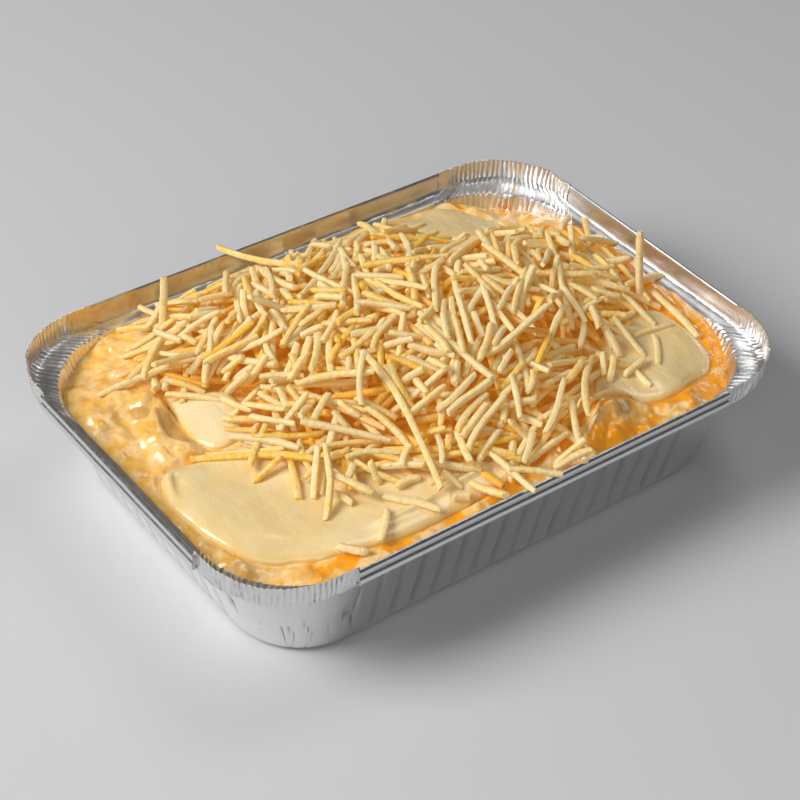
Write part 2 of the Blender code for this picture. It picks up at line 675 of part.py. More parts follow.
def main():
    """Clear the scene and build every piece of the tray."""
    for thing in list(bpy.data.objects):
        bpy.data.objects.remove(thing, do_unlink=True)
    foil = material("foil", (0.72, 0.72, 0.73), 0.24, 1.0)
    cream = material("creamy_chicken", (0.86, 0.45, 0.16), 0.35)
    cheese = material("melted_cheese", (0.87, 0.72, 0.39), 0.3)
    potato = material("fried_potato", (0.83, 0.58, 0.22), 0.5)
    build_tray(foil)
    build_filling(cream)
    for name in CHEESE_SLICES:
        build_slice(name, cheese)
    terrain = Terrain()
    build_loose_straws(terrain, potato)
    build_heap(terrain, potato)


main()
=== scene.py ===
"""Looks of the foil tray of creamy shredded chicken with melted cheese and shoestring potatoes.

Lengths are millimetres in the row frame and become metres when a mesh is made. Every shape is worked
out as whole arrays, and every finish is procedural.
"""

import logging
import math
import random
from dataclasses import dataclass, field
from enum import Enum

import bpy
import numpy as np
from mathutils import Matrix


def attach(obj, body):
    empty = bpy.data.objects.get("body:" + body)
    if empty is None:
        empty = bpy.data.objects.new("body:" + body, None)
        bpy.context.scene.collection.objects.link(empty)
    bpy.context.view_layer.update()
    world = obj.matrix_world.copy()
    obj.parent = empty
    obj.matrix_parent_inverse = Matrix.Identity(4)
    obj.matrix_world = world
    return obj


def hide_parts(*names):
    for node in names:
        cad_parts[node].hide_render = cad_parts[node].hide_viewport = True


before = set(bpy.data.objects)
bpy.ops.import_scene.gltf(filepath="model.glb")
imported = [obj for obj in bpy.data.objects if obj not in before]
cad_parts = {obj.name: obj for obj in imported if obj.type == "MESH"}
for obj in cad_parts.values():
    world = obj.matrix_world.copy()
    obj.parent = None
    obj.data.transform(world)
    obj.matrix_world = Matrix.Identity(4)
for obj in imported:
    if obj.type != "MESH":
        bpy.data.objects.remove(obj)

MM = 0.001
SEED = 42
LOG = logging.getLogger("tray")
BODY = "root"

# The tray's outline at its base, under its ledge and over its rim: half length, half width, corner radius.
BASE_LINE = np.array([91.4, 62.8, 23.8])
LEDGE_LINE = np.array([103.4, 71.3, 33.3])
RIM_LINE = np.array([110.0, 77.9, 28.2])
LEDGE_OUTER = np.array([107.6, 75.5, 29.8])
CORNER_LINE = np.array([108.8, 76.7, 28.2])
LEDGE_UNDER_Z = 36.3
LEDGE_Z = 36.9
HEM_HALF_LONG = 73.4
HEM_HALF_SHORT = 44.6
RIM_INSIDE = RIM_LINE - 2.6
FOIL_IN_CAD = 0.8

# Levels of the filling and the outline and height of the heap's core, as the solids have them.
HEAP_LEVEL = 37.0
WALL_LEVEL = 35.2
CORNER_DIP = 6.6
DIP_FROM = (64.0, 34.0)
DIP_OVER = (36.0, 32.0)
SHORE_FROM = 6.5
SHORE_OVER = 16.0
CHUNKS = ((-80.0, 25.0, 8.0, 3.6), (-90.0, 44.0, 9.0, 1.8), (-84.0, 8.0, 7.0, 1.6), (36.0, -61.0, 7.0, 2.2))
HEAP_CENTRE = np.array([5.0, 0.0])
HEAP_FOOT = (
    (88, 22), (78, 32), (58, 36), (46, 48), (38, 60), (15, 62), (-20, 62), (-48, 60), (-58, 50),
    (-64, 34), (-56, 22), (-56, 8), (-60, -8), (-52, -18), (-40, -28), (-24, -42), (-14, -52),
    (0, -55), (18, -54), (36, -46), (44, -36), (58, -26), (76, -20), (88, -12), (90, 5),
)
CORE_FOOT_HEIGHT = 4.4
CORE_PEAK = 57.0
CORE_ROUNDNESS = 2.3

# The height that is given to places where nothing lies.
NOWHERE = -50.0


def smooth(value: np.ndarray | float) -> np.ndarray:
    """Ease from 0 to 1 as value goes from 0 to 1, level at both ends."""
    t = np.clip(value, 0.0, 1.0)
    return t * t * (3.0 - 2.0 * t)


def lattice(column: np.ndarray, row: np.ndarray, seed: int) -> np.ndarray:
    """Repeatable random value from 0 to 1 for each whole-numbered place.

    Args:
        column: Whole numbers across.
        row: Whole numbers up.
        seed: Which pattern.

    Returns:
        The values, from a product and two shifts of the place's bits.
    """
    mixed = column.astype(np.int64) * 374761393 + row.astype(np.int64) * 668265263 + seed * 1274126177
    mixed &= 0xFFFFFFFF
    mixed = ((mixed ^ (mixed >> 13)) * 1103515245) & 0xFFFFFFFF
    return (mixed ^ (mixed >> 16)) / 4294967295.0


def noise(x: np.ndarray, y: np.ndarray, size: float, seed: int) -> np.ndarray:
    """Smooth random field from -1 to 1: lattice values eased between the four corners of each cell.

    Args:
        x: Places across, in millimetres.
        y: Places up, in millimetres.
        size: Width of one cell.
        seed: Which pattern.

    Returns:
        The field at each place.
    """
    u, v = np.asarray(x, float) / size + seed * 7.31, np.asarray(y, float) / size - seed * 3.17
    column, row = np.floor(u), np.floor(v)
    fu, fv = smooth(u - column), smooth(v - row)
    corners = [lattice(column + i, row + j, seed) for j in (0, 1) for i in (0, 1)]
    low = corners[0] + (corners[1] - corners[0]) * fu
    high = corners[2] + (corners[3] - corners[2]) * fu
    return 2.0 * (low + (high - low) * fv) - 1.0


def cloud(x: np.ndarray, y: np.ndarray, size: float, seed: int, layers: int = 4) -> np.ndarray:
    """Sum of noise layers, each half the size and half the strength of the one before.

    Args:
        x: Places across.
        y: Places up.
        size: Width of the coarsest layer's cells.
        seed: Which pattern.
        layers: How many layers.

    Returns:
        The field, roughly from -1 to 1.
    """
    total = sum(0.5 ** n * noise(x, y, size * 0.5 ** n, seed + 17 * n) for n in range(layers))
    return total / 1.6


def domes(x: np.ndarray, y: np.ndarray, size: float, seed: int) -> np.ndarray:
    """Field of rounded lumps that meet in creases, from 0 in the creases to 1 on the lumps.

    Each cell holds one jittered middle; the field is a half circle over the distance to the nearest one.

    Args:
        x: Places across.
        y: Places up.
        size: Width of one cell.
        seed: Which pattern.

    Returns:
        The field at each place.
    """
    u, v = x / size + seed * 1.7, y / size + seed * 2.3
    column, row = np.floor(u), np.floor(v)
    nearest = np.full(np.shape(u), 9.0)
    for j in (-1, 0, 1):
        for i in (-1, 0, 1):
            cx = column + i + 0.15 + 0.7 * lattice(column + i, row + j, seed)
            cy = row + j + 0.15 + 0.7 * lattice(column + i, row + j, seed + 1)
            nearest = np.minimum(nearest, np.hypot(u - cx, v - cy))
    return np.sqrt(np.maximum(1.0 - (nearest / 0.95) ** 2, 0.0))


def wall_line(z: np.ndarray | float) -> np.ndarray:
    """Half length, half width and corner radius of the outer wall at height z, on a straight slope."""
    share = np.asarray(z, float)[..., None] / LEDGE_UNDER_Z
    return BASE_LINE + (LEDGE_LINE - BASE_LINE) * share


def inside_distance(x: np.ndarray, y: np.ndarray, line: np.ndarray) -> np.ndarray:
    """Signed distance to a rounded rectangle's outline, negative inside.

    A place is folded into one quarter and measured from the middle of the corner's arc, less its radius.

    Args:
        x: Places along the tray.
        y: Places across it.
        line: The outline's half length, half width and corner radius.

    Returns:
        The distance at each place.
    """
    over_x, over_y = np.abs(x) - (line[0] - line[2]), np.abs(y) - (line[1] - line[2])
    outer = np.hypot(np.maximum(over_x, 0.0), np.maximum(over_y, 0.0))
    return outer + np.minimum(np.maximum(over_x, over_y), 0.0) - line[2]


def closed_curve(points: tuple, stations: int) -> np.ndarray:
    """Smooth closed curve through points, anticlockwise, at even steps of its length.

    Args:
        points: The outline's points in order.
        stations: How many places to return.

    Returns:
        Array of x and y, from a cubic through each four neighbouring points.
    """
    knots = np.array(points, float)
    t = np.arange(len(knots) * 12) / 12.0
    index = t.astype(int)
    f = (t - index)[:, None]
    before, start, end, after = (knots[(index + shift) % len(knots)] for shift in (-1, 0, 1, 2))
    curve = 0.5 * (2 * start + (end - before) * f + (2 * before - 5 * start + 4 * end - after) * f ** 2
                   + (3 * start - before - 3 * end + after) * f ** 3)
    closed = np.vstack([curve, curve[:1]])
    length = np.concatenate([[0.0], np.cumsum(np.hypot(*np.diff(closed, axis=0).T))])
    steps = np.linspace(0.0, length[-1], stations, endpoint=False)
    read = np.stack([np.interp(steps, length, closed[:, axis]) for axis in (0, 1)], -1)
    area = np.sum(read[:, 0] * np.roll(read[:, 1], -1) - np.roll(read[:, 0], -1) * read[:, 1])
    return read if area > 0 else read[::-1]


def heap_reach(x: np.ndarray, y: np.ndarray) -> tuple[np.ndarray, np.ndarray]:
    """How far each place is outside the heap's foot, on the ray from the heap's centre.

    Args:
        x: Places along the tray.
        y: Places across it.

    Returns:
        The distance outside the foot, negative inside, and the foot's radius on the same ray.
    """
    curve = closed_curve(HEAP_FOOT, 180) - HEAP_CENTRE
    angle = np.arctan2(curve[:, 1], curve[:, 0])
    order = np.argsort(angle)
    away = np.arctan2(y - HEAP_CENTRE[1], x - HEAP_CENTRE[0])
    foot = np.interp(away, angle[order], np.hypot(*curve.T)[order], period=2 * math.pi)
    return np.hypot(x - HEAP_CENTRE[0], y - HEAP_CENTRE[1]) - foot, foot


def outline_distance(x: np.ndarray, y: np.ndarray, curve: np.ndarray) -> np.ndarray:
    """Signed distance to a closed curve, negative inside.

    It is the distance to the nearest chord, and a count of crossings gives its sign.

    Args:
        x: Places along the tray.
        y: Places across it.
        curve: The curve's points in order.

    Returns:
        The distance at each place.
    """
    ends = np.roll(curve, -1, axis=0)
    px, py = x[..., None] - curve[:, 0], y[..., None] - curve[:, 1]
    ex, ey = (ends - curve).T
    share = np.clip((px * ex + py * ey) / (ex * ex + ey * ey), 0.0, 1.0)
    nearest = np.hypot(px - share * ex, py - share * ey).min(-1)
    crosses = (curve[:, 1] > y[..., None]) != (ends[:, 1] > y[..., None])
    at = curve[:, 0] + py * ex / np.where(ey == 0, 1e-9, ey)
    inside = (crosses & (x[..., None] < at)).sum(-1) % 2 == 1
    return np.where(inside, -nearest, nearest)


def smooth_level(x: np.ndarray, y: np.ndarray) -> np.ndarray:
    """Top of the filling without its lumps: level under the heap, easing down to the wall and its corners.

    Args:
        x: Places along the tray.
        y: Places across it.

    Returns:
        The height at each place.
    """
    dip = smooth((np.abs(x) - DIP_FROM[0]) / DIP_OVER[0]) * smooth((np.abs(y) - DIP_FROM[1]) / DIP_OVER[1])
    outside, _ = heap_reach(x, y)
    towards_wall = smooth((outside - SHORE_FROM) / SHORE_OVER)
    return HEAP_LEVEL + (WALL_LEVEL - HEAP_LEVEL - CORNER_DIP * dip) * towards_wall


def core_top(x: np.ndarray, y: np.ndarray) -> np.ndarray:
    """Top of the heap's core as the solid has it: one less a power of the share of the way to its foot.

    Args:
        x: Places along the tray.
        y: Places across it.

    Returns:
        The height at each place.
    """
    outside, foot = heap_reach(x, y)
    share = np.clip((outside + foot) / foot, 0.0, 1.0)
    rise = CORE_PEAK - HEAP_LEVEL - CORE_FOOT_HEIGHT
    return HEAP_LEVEL + CORE_FOOT_HEIGHT + rise * (1.0 - share ** CORE_ROUNDNESS)


def grid_faces(rows: int, columns: int, wrap: bool = False) -> np.ndarray:
    """Quads of a grid whose vertices run along each row.

    Args:
        rows: Rows of vertices.
        columns: Vertices in a row.
        wrap: Whether the last column joins the first.

    Returns:
        Four vertex numbers for each quad.
    """
    row = np.arange(rows - 1)[:, None] * columns
    column = np.arange(columns if wrap else columns - 1)[None, :]
    after = (column + 1) % columns
    quads = [row + column, row + after, row + columns + after, row + columns + column]
    return np.stack(np.broadcast_arrays(*quads), -1).reshape(-1, 4)


def fan_faces(ring: np.ndarray, middle: int) -> np.ndarray:
    """Triangles from each edge of a closed ring to a middle vertex."""
    return np.stack([ring, np.roll(ring, -1), np.full_like(ring, middle)], -1)


def make_piece(name: str, vertices: np.ndarray, faces: list, sharp: float = 40.0) -> bpy.types.Object:
    """Make an object at the origin from vertices in millimetres.

    Args:
        name: The object's name.
        vertices: Array of x, y and z.
        faces: Arrays of vertex indices, one array for each number of corners.
        sharp: Edges that turn by more than this many degrees are shaded sharp.

    Returns:
        The object, riding on the tray's body.
    """
    mesh = bpy.data.meshes.new(name)
    polygons = [face for part in faces for face in part.tolist()]
    mesh.from_pydata((np.asarray(vertices, float) * MM).tolist(), [], polygons)
    mesh.shade_smooth()
    mesh.set_sharp_from_angle(angle=math.radians(sharp))
    piece = bpy.data.objects.new(name, mesh)
    bpy.context.scene.collection.objects.link(piece)
    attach(piece, BODY)
    LOG.info("%s: %d vertices, %d faces", name, len(mesh.vertices), len(mesh.polygons))
    return piece


def mark(piece: bpy.types.Object, name: str, values: np.ndarray) -> None:
    """Store one number for each vertex under a name that a finish reads."""
    layer = piece.data.attributes.new(name, "FLOAT", "POINT")
    layer.data.foreach_set("value", np.asarray(values, np.float32).ravel())


class Slot(Enum):
    """The record's material slots."""

    FOIL = "foil"
    CREAM = "creamy_chicken"
    CHEESE = "melted_cheese"
    POTATO = "fried_potato"


class Value:
    """A shader socket that Python arithmetic works on; each operator adds one Math node."""

    def __init__(self, graph: "Graph", socket: bpy.types.NodeSocket) -> None:
        """Wrap a socket of a graph."""
        self.graph, self.socket = graph, socket

    def math(self, operation: str, *others: "Value | float") -> "Value":
        """Result of a Math node on this value and others."""
        return self.graph.node("ShaderNodeMath", {"operation": operation}, dict(enumerate((self, *others))))

    def __add__(self, other: "Value | float") -> "Value":
        """This plus other."""
        return self.math("ADD", other)

    __radd__ = __add__

    def __mul__(self, other: "Value | float") -> "Value":
        """This times other."""
        return self.math("MULTIPLY", other)

    __rmul__ = __mul__

    def __sub__(self, other: "Value | float") -> "Value":
        """This less other."""
        return self.math("SUBTRACT", other)

    def __rsub__(self, other: float) -> "Value":
        """Other less this."""
        return (self * -1.0) + other

    def ease(self, low: float, high: float) -> "Value":
        """From 0 at low to 1 at high, eased and held outside."""
        settings = {"interpolation_type": "SMOOTHSTEP"}
        return self.graph.node("ShaderNodeMapRange", settings, {0: self, 1: low, 2: high, 3: 0.0, 4: 1.0})


class Graph:
    """The node tree of one material."""

    def __init__(self, name: str) -> None:
        """Start an empty material.

        Args:
            name: The material's name.
        """
        self.material = bpy.data.materials.new(name)
        self.material.use_nodes = True
        self.tree = self.material.node_tree
        self.tree.nodes.clear()

    def node(self, kind: str, settings: dict | None = None, inputs: dict | None = None,
             output: str | int = 0) -> Value:
        """Add a node.

        Args:
            kind: The node's type.
            settings: Its properties, such as a Math node's operation, which are set first.
            inputs: Numbers, colours or Values for its sockets, by name or number.
            output: The socket that is returned.

        Returns:
            That socket, wrapped.
        """
        made = self.tree.nodes.new(kind)
        for key, value in (settings or {}).items():
            setattr(made, key, value)
        for key, value in (inputs or {}).items():
            if isinstance(value, Value):
                self.tree.links.new(value.socket, made.inputs[key])
            else:
                made.inputs[key].default_value = value
        return Value(self, made.outputs[output])

    def place(self, scale: tuple = (1.0, 1.0, 1.0), turn: float = 0.0) -> Value:
        """Object coordinates for a pattern.

        Args:
            scale: How many times closer together the pattern lies along each axis.
            turn: Turn about Z in degrees.

        Returns:
            The coordinates.
        """
        coordinates = self.node("ShaderNodeTexCoord", output="Object")
        return self.node("ShaderNodeMapping", None, {
            "Vector": coordinates, "Rotation": (0.0, 0.0, math.radians(turn)), "Scale": scale})

    def grain(self, size: float, detail: float = 4.0, place: Value | None = None, roughness: float = 0.5,
              distortion: float = 0.0) -> Value:
        """Noise from 0 to 1.

        Args:
            size: Width of its features in millimetres.
            detail: How many finer layers it has.
            place: The coordinates it is read at, if not the plain ones.
            roughness: Strength of the finer layers.
            distortion: How far it is bent by itself.

        Returns:
            The noise.
        """
        return self.node("ShaderNodeTexNoise", None, {
            "Vector": place or self.place(), "Scale": 1.0 / (size * MM), "Detail": detail,
            "Roughness": roughness, "Distortion": distortion}, "Fac")

    def cells(self, size: float, feature: str = "F1", place: Value | None = None) -> Value:
        """Distance field of cells about size millimetres across."""
        return self.node("ShaderNodeTexVoronoi", {"feature": feature}, {
            "Vector": place or self.place(), "Scale": 1.0 / (size * MM)}, "Distance")

    def stored(self, name: str) -> Value:
        """A number stored on the mesh under a name."""
        return self.node("ShaderNodeAttribute", {"attribute_name": name}, None, "Fac")

    def blend(self, factor: Value | float, first: Value | tuple, second: Value | tuple) -> Value:
        """Colour that goes from first to second as factor goes from 0 to 1."""
        colors = [c if isinstance(c, Value) else (*c, 1.0) for c in (first, second)]
        return self.node("ShaderNodeMix", {"data_type": "RGBA"}, {0: factor, 6: colors[0], 7: colors[1]}, 2)

    def relief(self, height: Value, depth: float) -> Value:
        """Normal bent by a height from 0 to 1 that stands for depth millimetres."""
        return self.node("ShaderNodeBump", None, {
            "Height": height, "Distance": depth * MM, "Strength": 1.0}, "Normal")

    def shader(self, **inputs: object) -> Value:
        """A Principled shader.

        Args:
            inputs: Numbers, colours or Values for its sockets, each name with _ for a space.

        Returns:
            The shader.
        """
        named = {key.replace("_", " "): (*v, 1.0) if key == "Base_Color" and isinstance(v, tuple) else v
                 for key, v in inputs.items()}
        return self.node("ShaderNodeBsdfPrincipled", None, named)

    def finish(self, surface: Value, piece: bpy.types.Object) -> None:
        """Send a shader to the output and dress a piece with the material.

        Args:
            surface: The shader.
            piece: The object to dress.
        """
        end = self.tree.nodes.new("ShaderNodeOutputMaterial")
        self.tree.links.new(surface.socket, end.inputs["Surface"])
        piece.data.materials.clear()
        piece.data.materials.append(self.material)


@dataclass(frozen=True)
class FoilFinish:
    """Bright rolled aluminium foil with fine creases, and a film of sauce where it was splashed. Its flutes,
    creases, pleats and inner faces are darkened with painted shade.
    """

    tint: tuple = (0.79, 0.79, 0.785)
    # Colour of the painted shade in flutes, creases, pleats and on the inner faces.
    groove_shade: tuple = (0.24, 0.235, 0.23)
    roughness: float = 0.17
    greasy: float = 0.15
    sauce: tuple = (0.76, 0.47, 0.11)
    thin_sauce: tuple = (0.78, 0.64, 0.40)

    def dress(self, piece: bpy.types.Object) -> None:
        """Give a piece this finish.

        Args:
            piece: The tray, with the stored numbers smear, the painted groove shade, crumple and inside from
                0 to 1.
        """
        graph = Graph("rolled_foil")
        crumple = graph.stored("crumple")
        dents = graph.grain(12.0, 2.0, distortion=0.4)
        lines = graph.grain(0.6, 2.0, graph.place((0.04, 0.04, 1.0)))
        creases = graph.cells(5.5, "DISTANCE_TO_EDGE", graph.place((1.0, 1.0, 0.35), 12.0)).ease(0.0, 0.05)
        height = dents * (crumple * 0.25 + 0.22) + creases * crumple * 0.07 + lines * 0.03
        rough = graph.grain(3.0, 3.0).ease(0.25, 0.8) * 0.1
        rough = rough + graph.stored("inside") * self.greasy + self.roughness
        # The base colour goes towards the shade colour where the stored groove number is high: painted shade.
        metal = graph.shader(Base_Color=graph.blend(graph.stored("groove_shade"), self.tint, self.groove_shade),
                             Metallic=1.0, Roughness=rough, Normal=graph.relief(height, 0.45))
        film = graph.grain(4.5, 5.0, roughness=0.65)
        runs = graph.grain(2.4, 3.0, graph.place((1.0, 1.0, 0.35), 20.0))
        sauce = graph.shader(Base_Color=graph.blend(film.ease(0.35, 0.65), self.sauce, self.thin_sauce),
                             Roughness=0.25, Metallic=0.35, Normal=graph.relief(film + runs * 0.5, 0.7))
        amount = (graph.stored("smear") + film * 1.3 + runs * 0.5 - 1.05).ease(0.0, 0.35) * 0.8
        surface = graph.node("ShaderNodeMixShader", None, {0: amount, 1: metal, 2: sauce})
        graph.finish(surface, piece)


@dataclass(frozen=True)
class CreamFinish:
    """Wet cream sauce over shredded chicken, paler on its lumps and deeper orange in its hollows.

    A faint painted glow stands for the light that goes through the sauce; it is twice as strong in the
    hollows and oily places, painted light that lifts their shade.
    """

    pale: tuple = (0.89, 0.61, 0.27)
    middle: tuple = (0.88, 0.46, 0.07)
    deep: tuple = (0.88, 0.33, 0.005)
    bare: tuple = (0.62, 0.34, 0.10)
    glow: tuple = (0.5, 0.25, 0.03)
    # The painted glow of the hollows and oily places, twice the other.
    hollow_glow: tuple = (1.0, 0.45, 0.02)
    speck: tuple = (0.55, 0.13, 0.02)

    def dress(self, piece: bpy.types.Object, paler: float = 0.0) -> None:
        """Give a piece this finish.

        Args:
            piece: The filling or its shreds, with the stored numbers hollow and bare from 0 to 1.
            paler: How far the colour moves towards the pale one.
        """
        graph = Graph("cream_sauce")
        mottle = graph.grain(5.0, 5.0, roughness=0.65)
        hollow = graph.stored("hollow")
        color = graph.blend((mottle.ease(0.36, 0.66) * (1.0 - paler) + paler), self.middle, self.pale)
        color = graph.blend((hollow * 1.5 - mottle * 0.9 + 0.3).ease(0.0, 1.0), color, self.deep)
        color = graph.blend(graph.stored("bare"), color, self.bare)
        specks = 1.0 - graph.cells(2.6, place=graph.place(turn=31.0)).ease(0.05, 0.13)
        color = graph.blend(specks * graph.grain(7.0, 2.0).ease(0.52, 0.62) * 0.7, color, self.speck)
        fine = graph.grain(1.3, 3.0)
        height = graph.grain(3.8, 2.0) * 0.8 + fine * 0.12
        surface = graph.shader(
            Base_Color=color, Roughness=fine.ease(0.2, 0.8) * 0.2 + 0.24, Normal=graph.relief(height, 0.7),
            Coat_Weight=0.7, Coat_Roughness=0.08, Subsurface_Weight=0.2,
            Subsurface_Radius=(1.0, 0.6, 0.25), Subsurface_Scale=0.003,
            # Painted glow, stronger where the hollow number is high.
            Emission_Color=graph.blend(hollow, self.glow, self.hollow_glow), Emission_Strength=0.1)
        graph.finish(surface, piece)


@dataclass(frozen=True)
class CheeseFinish:
    """Melted cheese, satin and slightly see-through, more orange where it is thin."""

    body: tuple = (0.87, 0.64, 0.29)
    thick: tuple = (0.91, 0.74, 0.43)
    thin: tuple = (0.89, 0.59, 0.20)

    def dress(self, piece: bpy.types.Object, paler: float = 0.0) -> None:
        """Give a slice this finish.

        Args:
            piece: The slice, with the stored number thin from 0 to 1.
            paler: How far the colour moves towards the thick one.
        """
        graph = Graph("melted_cheese")
        mottle = graph.grain(14.0, 4.0)
        color = graph.blend(mottle.ease(0.35, 0.7) * (0.6 - paler / 2) + paler, self.body, self.thick)
        thin = (graph.stored("thin") * 0.85 + mottle * 0.5 - 0.3).ease(0.0, 1.0)
        color = graph.blend(thin, color, self.thin)
        fine = graph.grain(2.4, 3.0)
        folds = graph.grain(7.0, 3.0, graph.place((1.0, 0.45, 1.0), 35.0), distortion=0.6)
        surface = graph.shader(
            Base_Color=color, Roughness=fine.ease(0.2, 0.8) * 0.1 + 0.2,
            Normal=graph.relief(fine * 0.3 + folds, 0.4), Coat_Weight=0.5, Coat_Roughness=0.12,
            Subsurface_Weight=0.3, Subsurface_Radius=(1.0, 0.75, 0.4), Subsurface_Scale=0.004)
        graph.finish(surface, piece)


@dataclass(frozen=True)
class PotatoFinish:
    """Fried potato, pale straw yellow with golden stretches, browner ends and a few dark specks. Straws
    deeper in the heap turn a deep orange, painted shade and painted bounced light.

    A faint glow stands for the light that real straws pass on to each other.
    """

    pale: tuple = (0.85, 0.68, 0.38)
    golden: tuple = (0.88, 0.52, 0.07)
    # Deep orange of straws low in the heap: painted shade and bounced light.
    inner: tuple = (0.88, 0.38, 0.01)
    glow: tuple = (1.0, 0.52, 0.03, 1.0)
    brown: tuple = (0.42, 0.15, 0.03)

    def dress(self, piece: bpy.types.Object) -> None:
        """Give straws this finish.

        Args:
            piece: The straws, with the stored numbers tone, depth and tip, each from 0 to 1; depth brings in
                the painted shade.
        """
        graph = Graph("fried_potato")
        mottle = graph.grain(2.2, 4.0, roughness=0.6)
        tone = graph.stored("tone")
        color = graph.blend((tone * 1.2 + mottle * 1.8 - 1.05).ease(0.0, 1.0), self.pale, self.golden)
        # Deeper straws go towards the inner colour: painted shade.
        color = graph.blend(graph.stored("depth").ease(0.05, 0.9) * 0.8, color, self.inner)
        brown = graph.stored("tip") * tone.ease(0.55, 1.0) * mottle.ease(0.3, 0.7)
        color = graph.blend(brown * 0.8, color, self.brown)
        specks = 1.0 - graph.cells(3.4, place=graph.place(turn=17.0)).ease(0.04, 0.1)
        color = graph.blend(specks * graph.grain(9.0, 2.0).ease(0.58, 0.64), color, self.brown)
        fine = graph.grain(0.9, 3.0)
        height = fine + mottle * 1.5
        surface = graph.shader(
            Base_Color=color, Roughness=fine.ease(0.2, 0.8) * 0.2 + 0.36, Normal=graph.relief(height, 0.35),
            Specular_IOR_Level=0.22, Subsurface_Weight=0.5, Subsurface_Radius=(1.0, 0.7, 0.35),
            Subsurface_Scale=0.003, Emission_Color=self.glow, Emission_Strength=0.075)
        graph.finish(surface, piece)


@dataclass(frozen=True)
class FloorFinish:
    """Pale grey matte table top."""

    color: tuple = (0.60, 0.60, 0.61)

    def dress(self, piece: bpy.types.Object) -> None:
        """Give the floor this finish.

        Args:
            piece: The floor.
        """
        graph = Graph("pale_table")
        fine = graph.grain(1.5, 3.0)
        surface = graph.shader(Base_Color=graph.blend(fine, self.color, tuple(c * 1.03 for c in self.color)),
                               Roughness=0.5, Specular_IOR_Level=0.3)
        graph.finish(surface, piece)


@dataclass(frozen=True)
class View:
    """The camera at the photograph's viewing angle, and the way back from its pixels to places."""

    place: tuple = (-339.98, -428.59, 464.83)
    heading: float = 51.613
    tilt: float = 38.966
    roll: float = 2.751
    lens: float = 94.953
    sensor: float = 36.0
    picture: float = 800.0

    def axes(self) -> np.ndarray:
        """Directions of the camera, from its heading and tilt and then its roll about the line of sight.

        Returns:
            Rows of its right, up and forward directions.
        """
        heading, tilt, roll = (math.radians(a) for a in (self.heading, self.tilt, self.roll))
        ahead = np.array([math.cos(heading), math.sin(heading), 0.0])
        forward = ahead * math.cos(tilt) - np.array([0.0, 0.0, math.sin(tilt)])
        level = np.array([math.sin(heading), -math.cos(heading), 0.0])
        steep = np.cross(level, forward)
        right = math.cos(roll) * level + math.sin(roll) * steep
        return np.array([right, np.cross(right, forward), forward])

    def seen_at(self, pixel: tuple, z: float) -> np.ndarray:
        """Place that the camera sees at a pixel, on the pixel's ray where it crosses a height.

        Args:
            pixel: Steps from the picture's left and top edges.
            z: The height.

        Returns:
            The place.
        """
        right, up, forward = self.axes()
        focal = self.lens / self.sensor * self.picture
        half = self.picture / 2
        ray = forward + (pixel[0] - half) / focal * right - (pixel[1] - half) / focal * up
        return np.array(self.place) + ray * (z - self.place[2]) / ray[2]

    def build(self) -> None:
        """Make the camera and make it the scene's."""
        right, up, forward = self.axes()
        data = bpy.data.cameras.new("view")
        data.lens, data.sensor_width = self.lens, self.sensor
        camera = bpy.data.objects.new("view", data)
        turned = Matrix(np.column_stack([right, up, -forward]).tolist()).to_4x4()
        camera.matrix_world = Matrix.Translation([v * MM for v in self.place]) @ turned
        bpy.context.scene.collection.objects.link(camera)
        bpy.context.scene.camera = camera


@dataclass
class Studio:
    """A pale table, a large soft light from the left and weak ones from the front and from above."""

    floor_half: float = 4000.0
    sky: float = 0.08
    lights: tuple = (
        ("key", (-1150.0, 420.0, 1050.0), 750.0, 25.0),
        ("fill", (-800.0, -1000.0, 800.0), 900.0, 5.0),
        ("top", (620.0, 180.0, 1350.0), 620.0, 3.2),
    )

    def build(self) -> None:
        """Make the floor, the lights and the even light of the room."""
        half = self.floor_half
        corners = np.array([[-half, -half, 0.0], [half, -half, 0.0], [half, half, 0.0], [-half, half, 0.0]])
        mesh = bpy.data.meshes.new("table_top")
        mesh.from_pydata((corners * MM).tolist(), [], [(0, 1, 2, 3)])
        floor = bpy.data.objects.new("table_top", mesh)
        bpy.context.scene.collection.objects.link(floor)
        FloorFinish().dress(floor)
        for name, place, width, power in self.lights:
            self.add_light(name, place, width, power)
        world = bpy.data.worlds.new("room")
        world.use_nodes = True
        world.node_tree.nodes["Background"].inputs["Color"].default_value = (1.0, 1.0, 1.0, 1.0)
        world.node_tree.nodes["Background"].inputs["Strength"].default_value = self.sky
        bpy.context.scene.world = world
        bpy.context.scene.view_settings.view_transform = "Standard"

    def add_light(self, name: str, place: tuple, width: float, power: float) -> None:
        """Add a square soft light that faces the tray.

        Args:
            name: Its name.
            place: Its centre in millimetres.
            width: Its side in millimetres.
            power: Its power in watts.
        """
        data = bpy.data.lights.new(name, "AREA")
        data.size, data.energy = width * MM, power
        lamp = bpy.data.objects.new(name, data)
        away = np.array(place) / np.linalg.norm(place)
        side = np.cross((0.0, 0.0, 1.0), away)
        side /= np.linalg.norm(side)
        turned = Matrix(np.column_stack([side, np.cross(away, side), away]).tolist()).to_4x4()
        lamp.matrix_world = Matrix.Translation([v * MM for v in place]) @ turned
        bpy.context.scene.collection.objects.link(lamp)


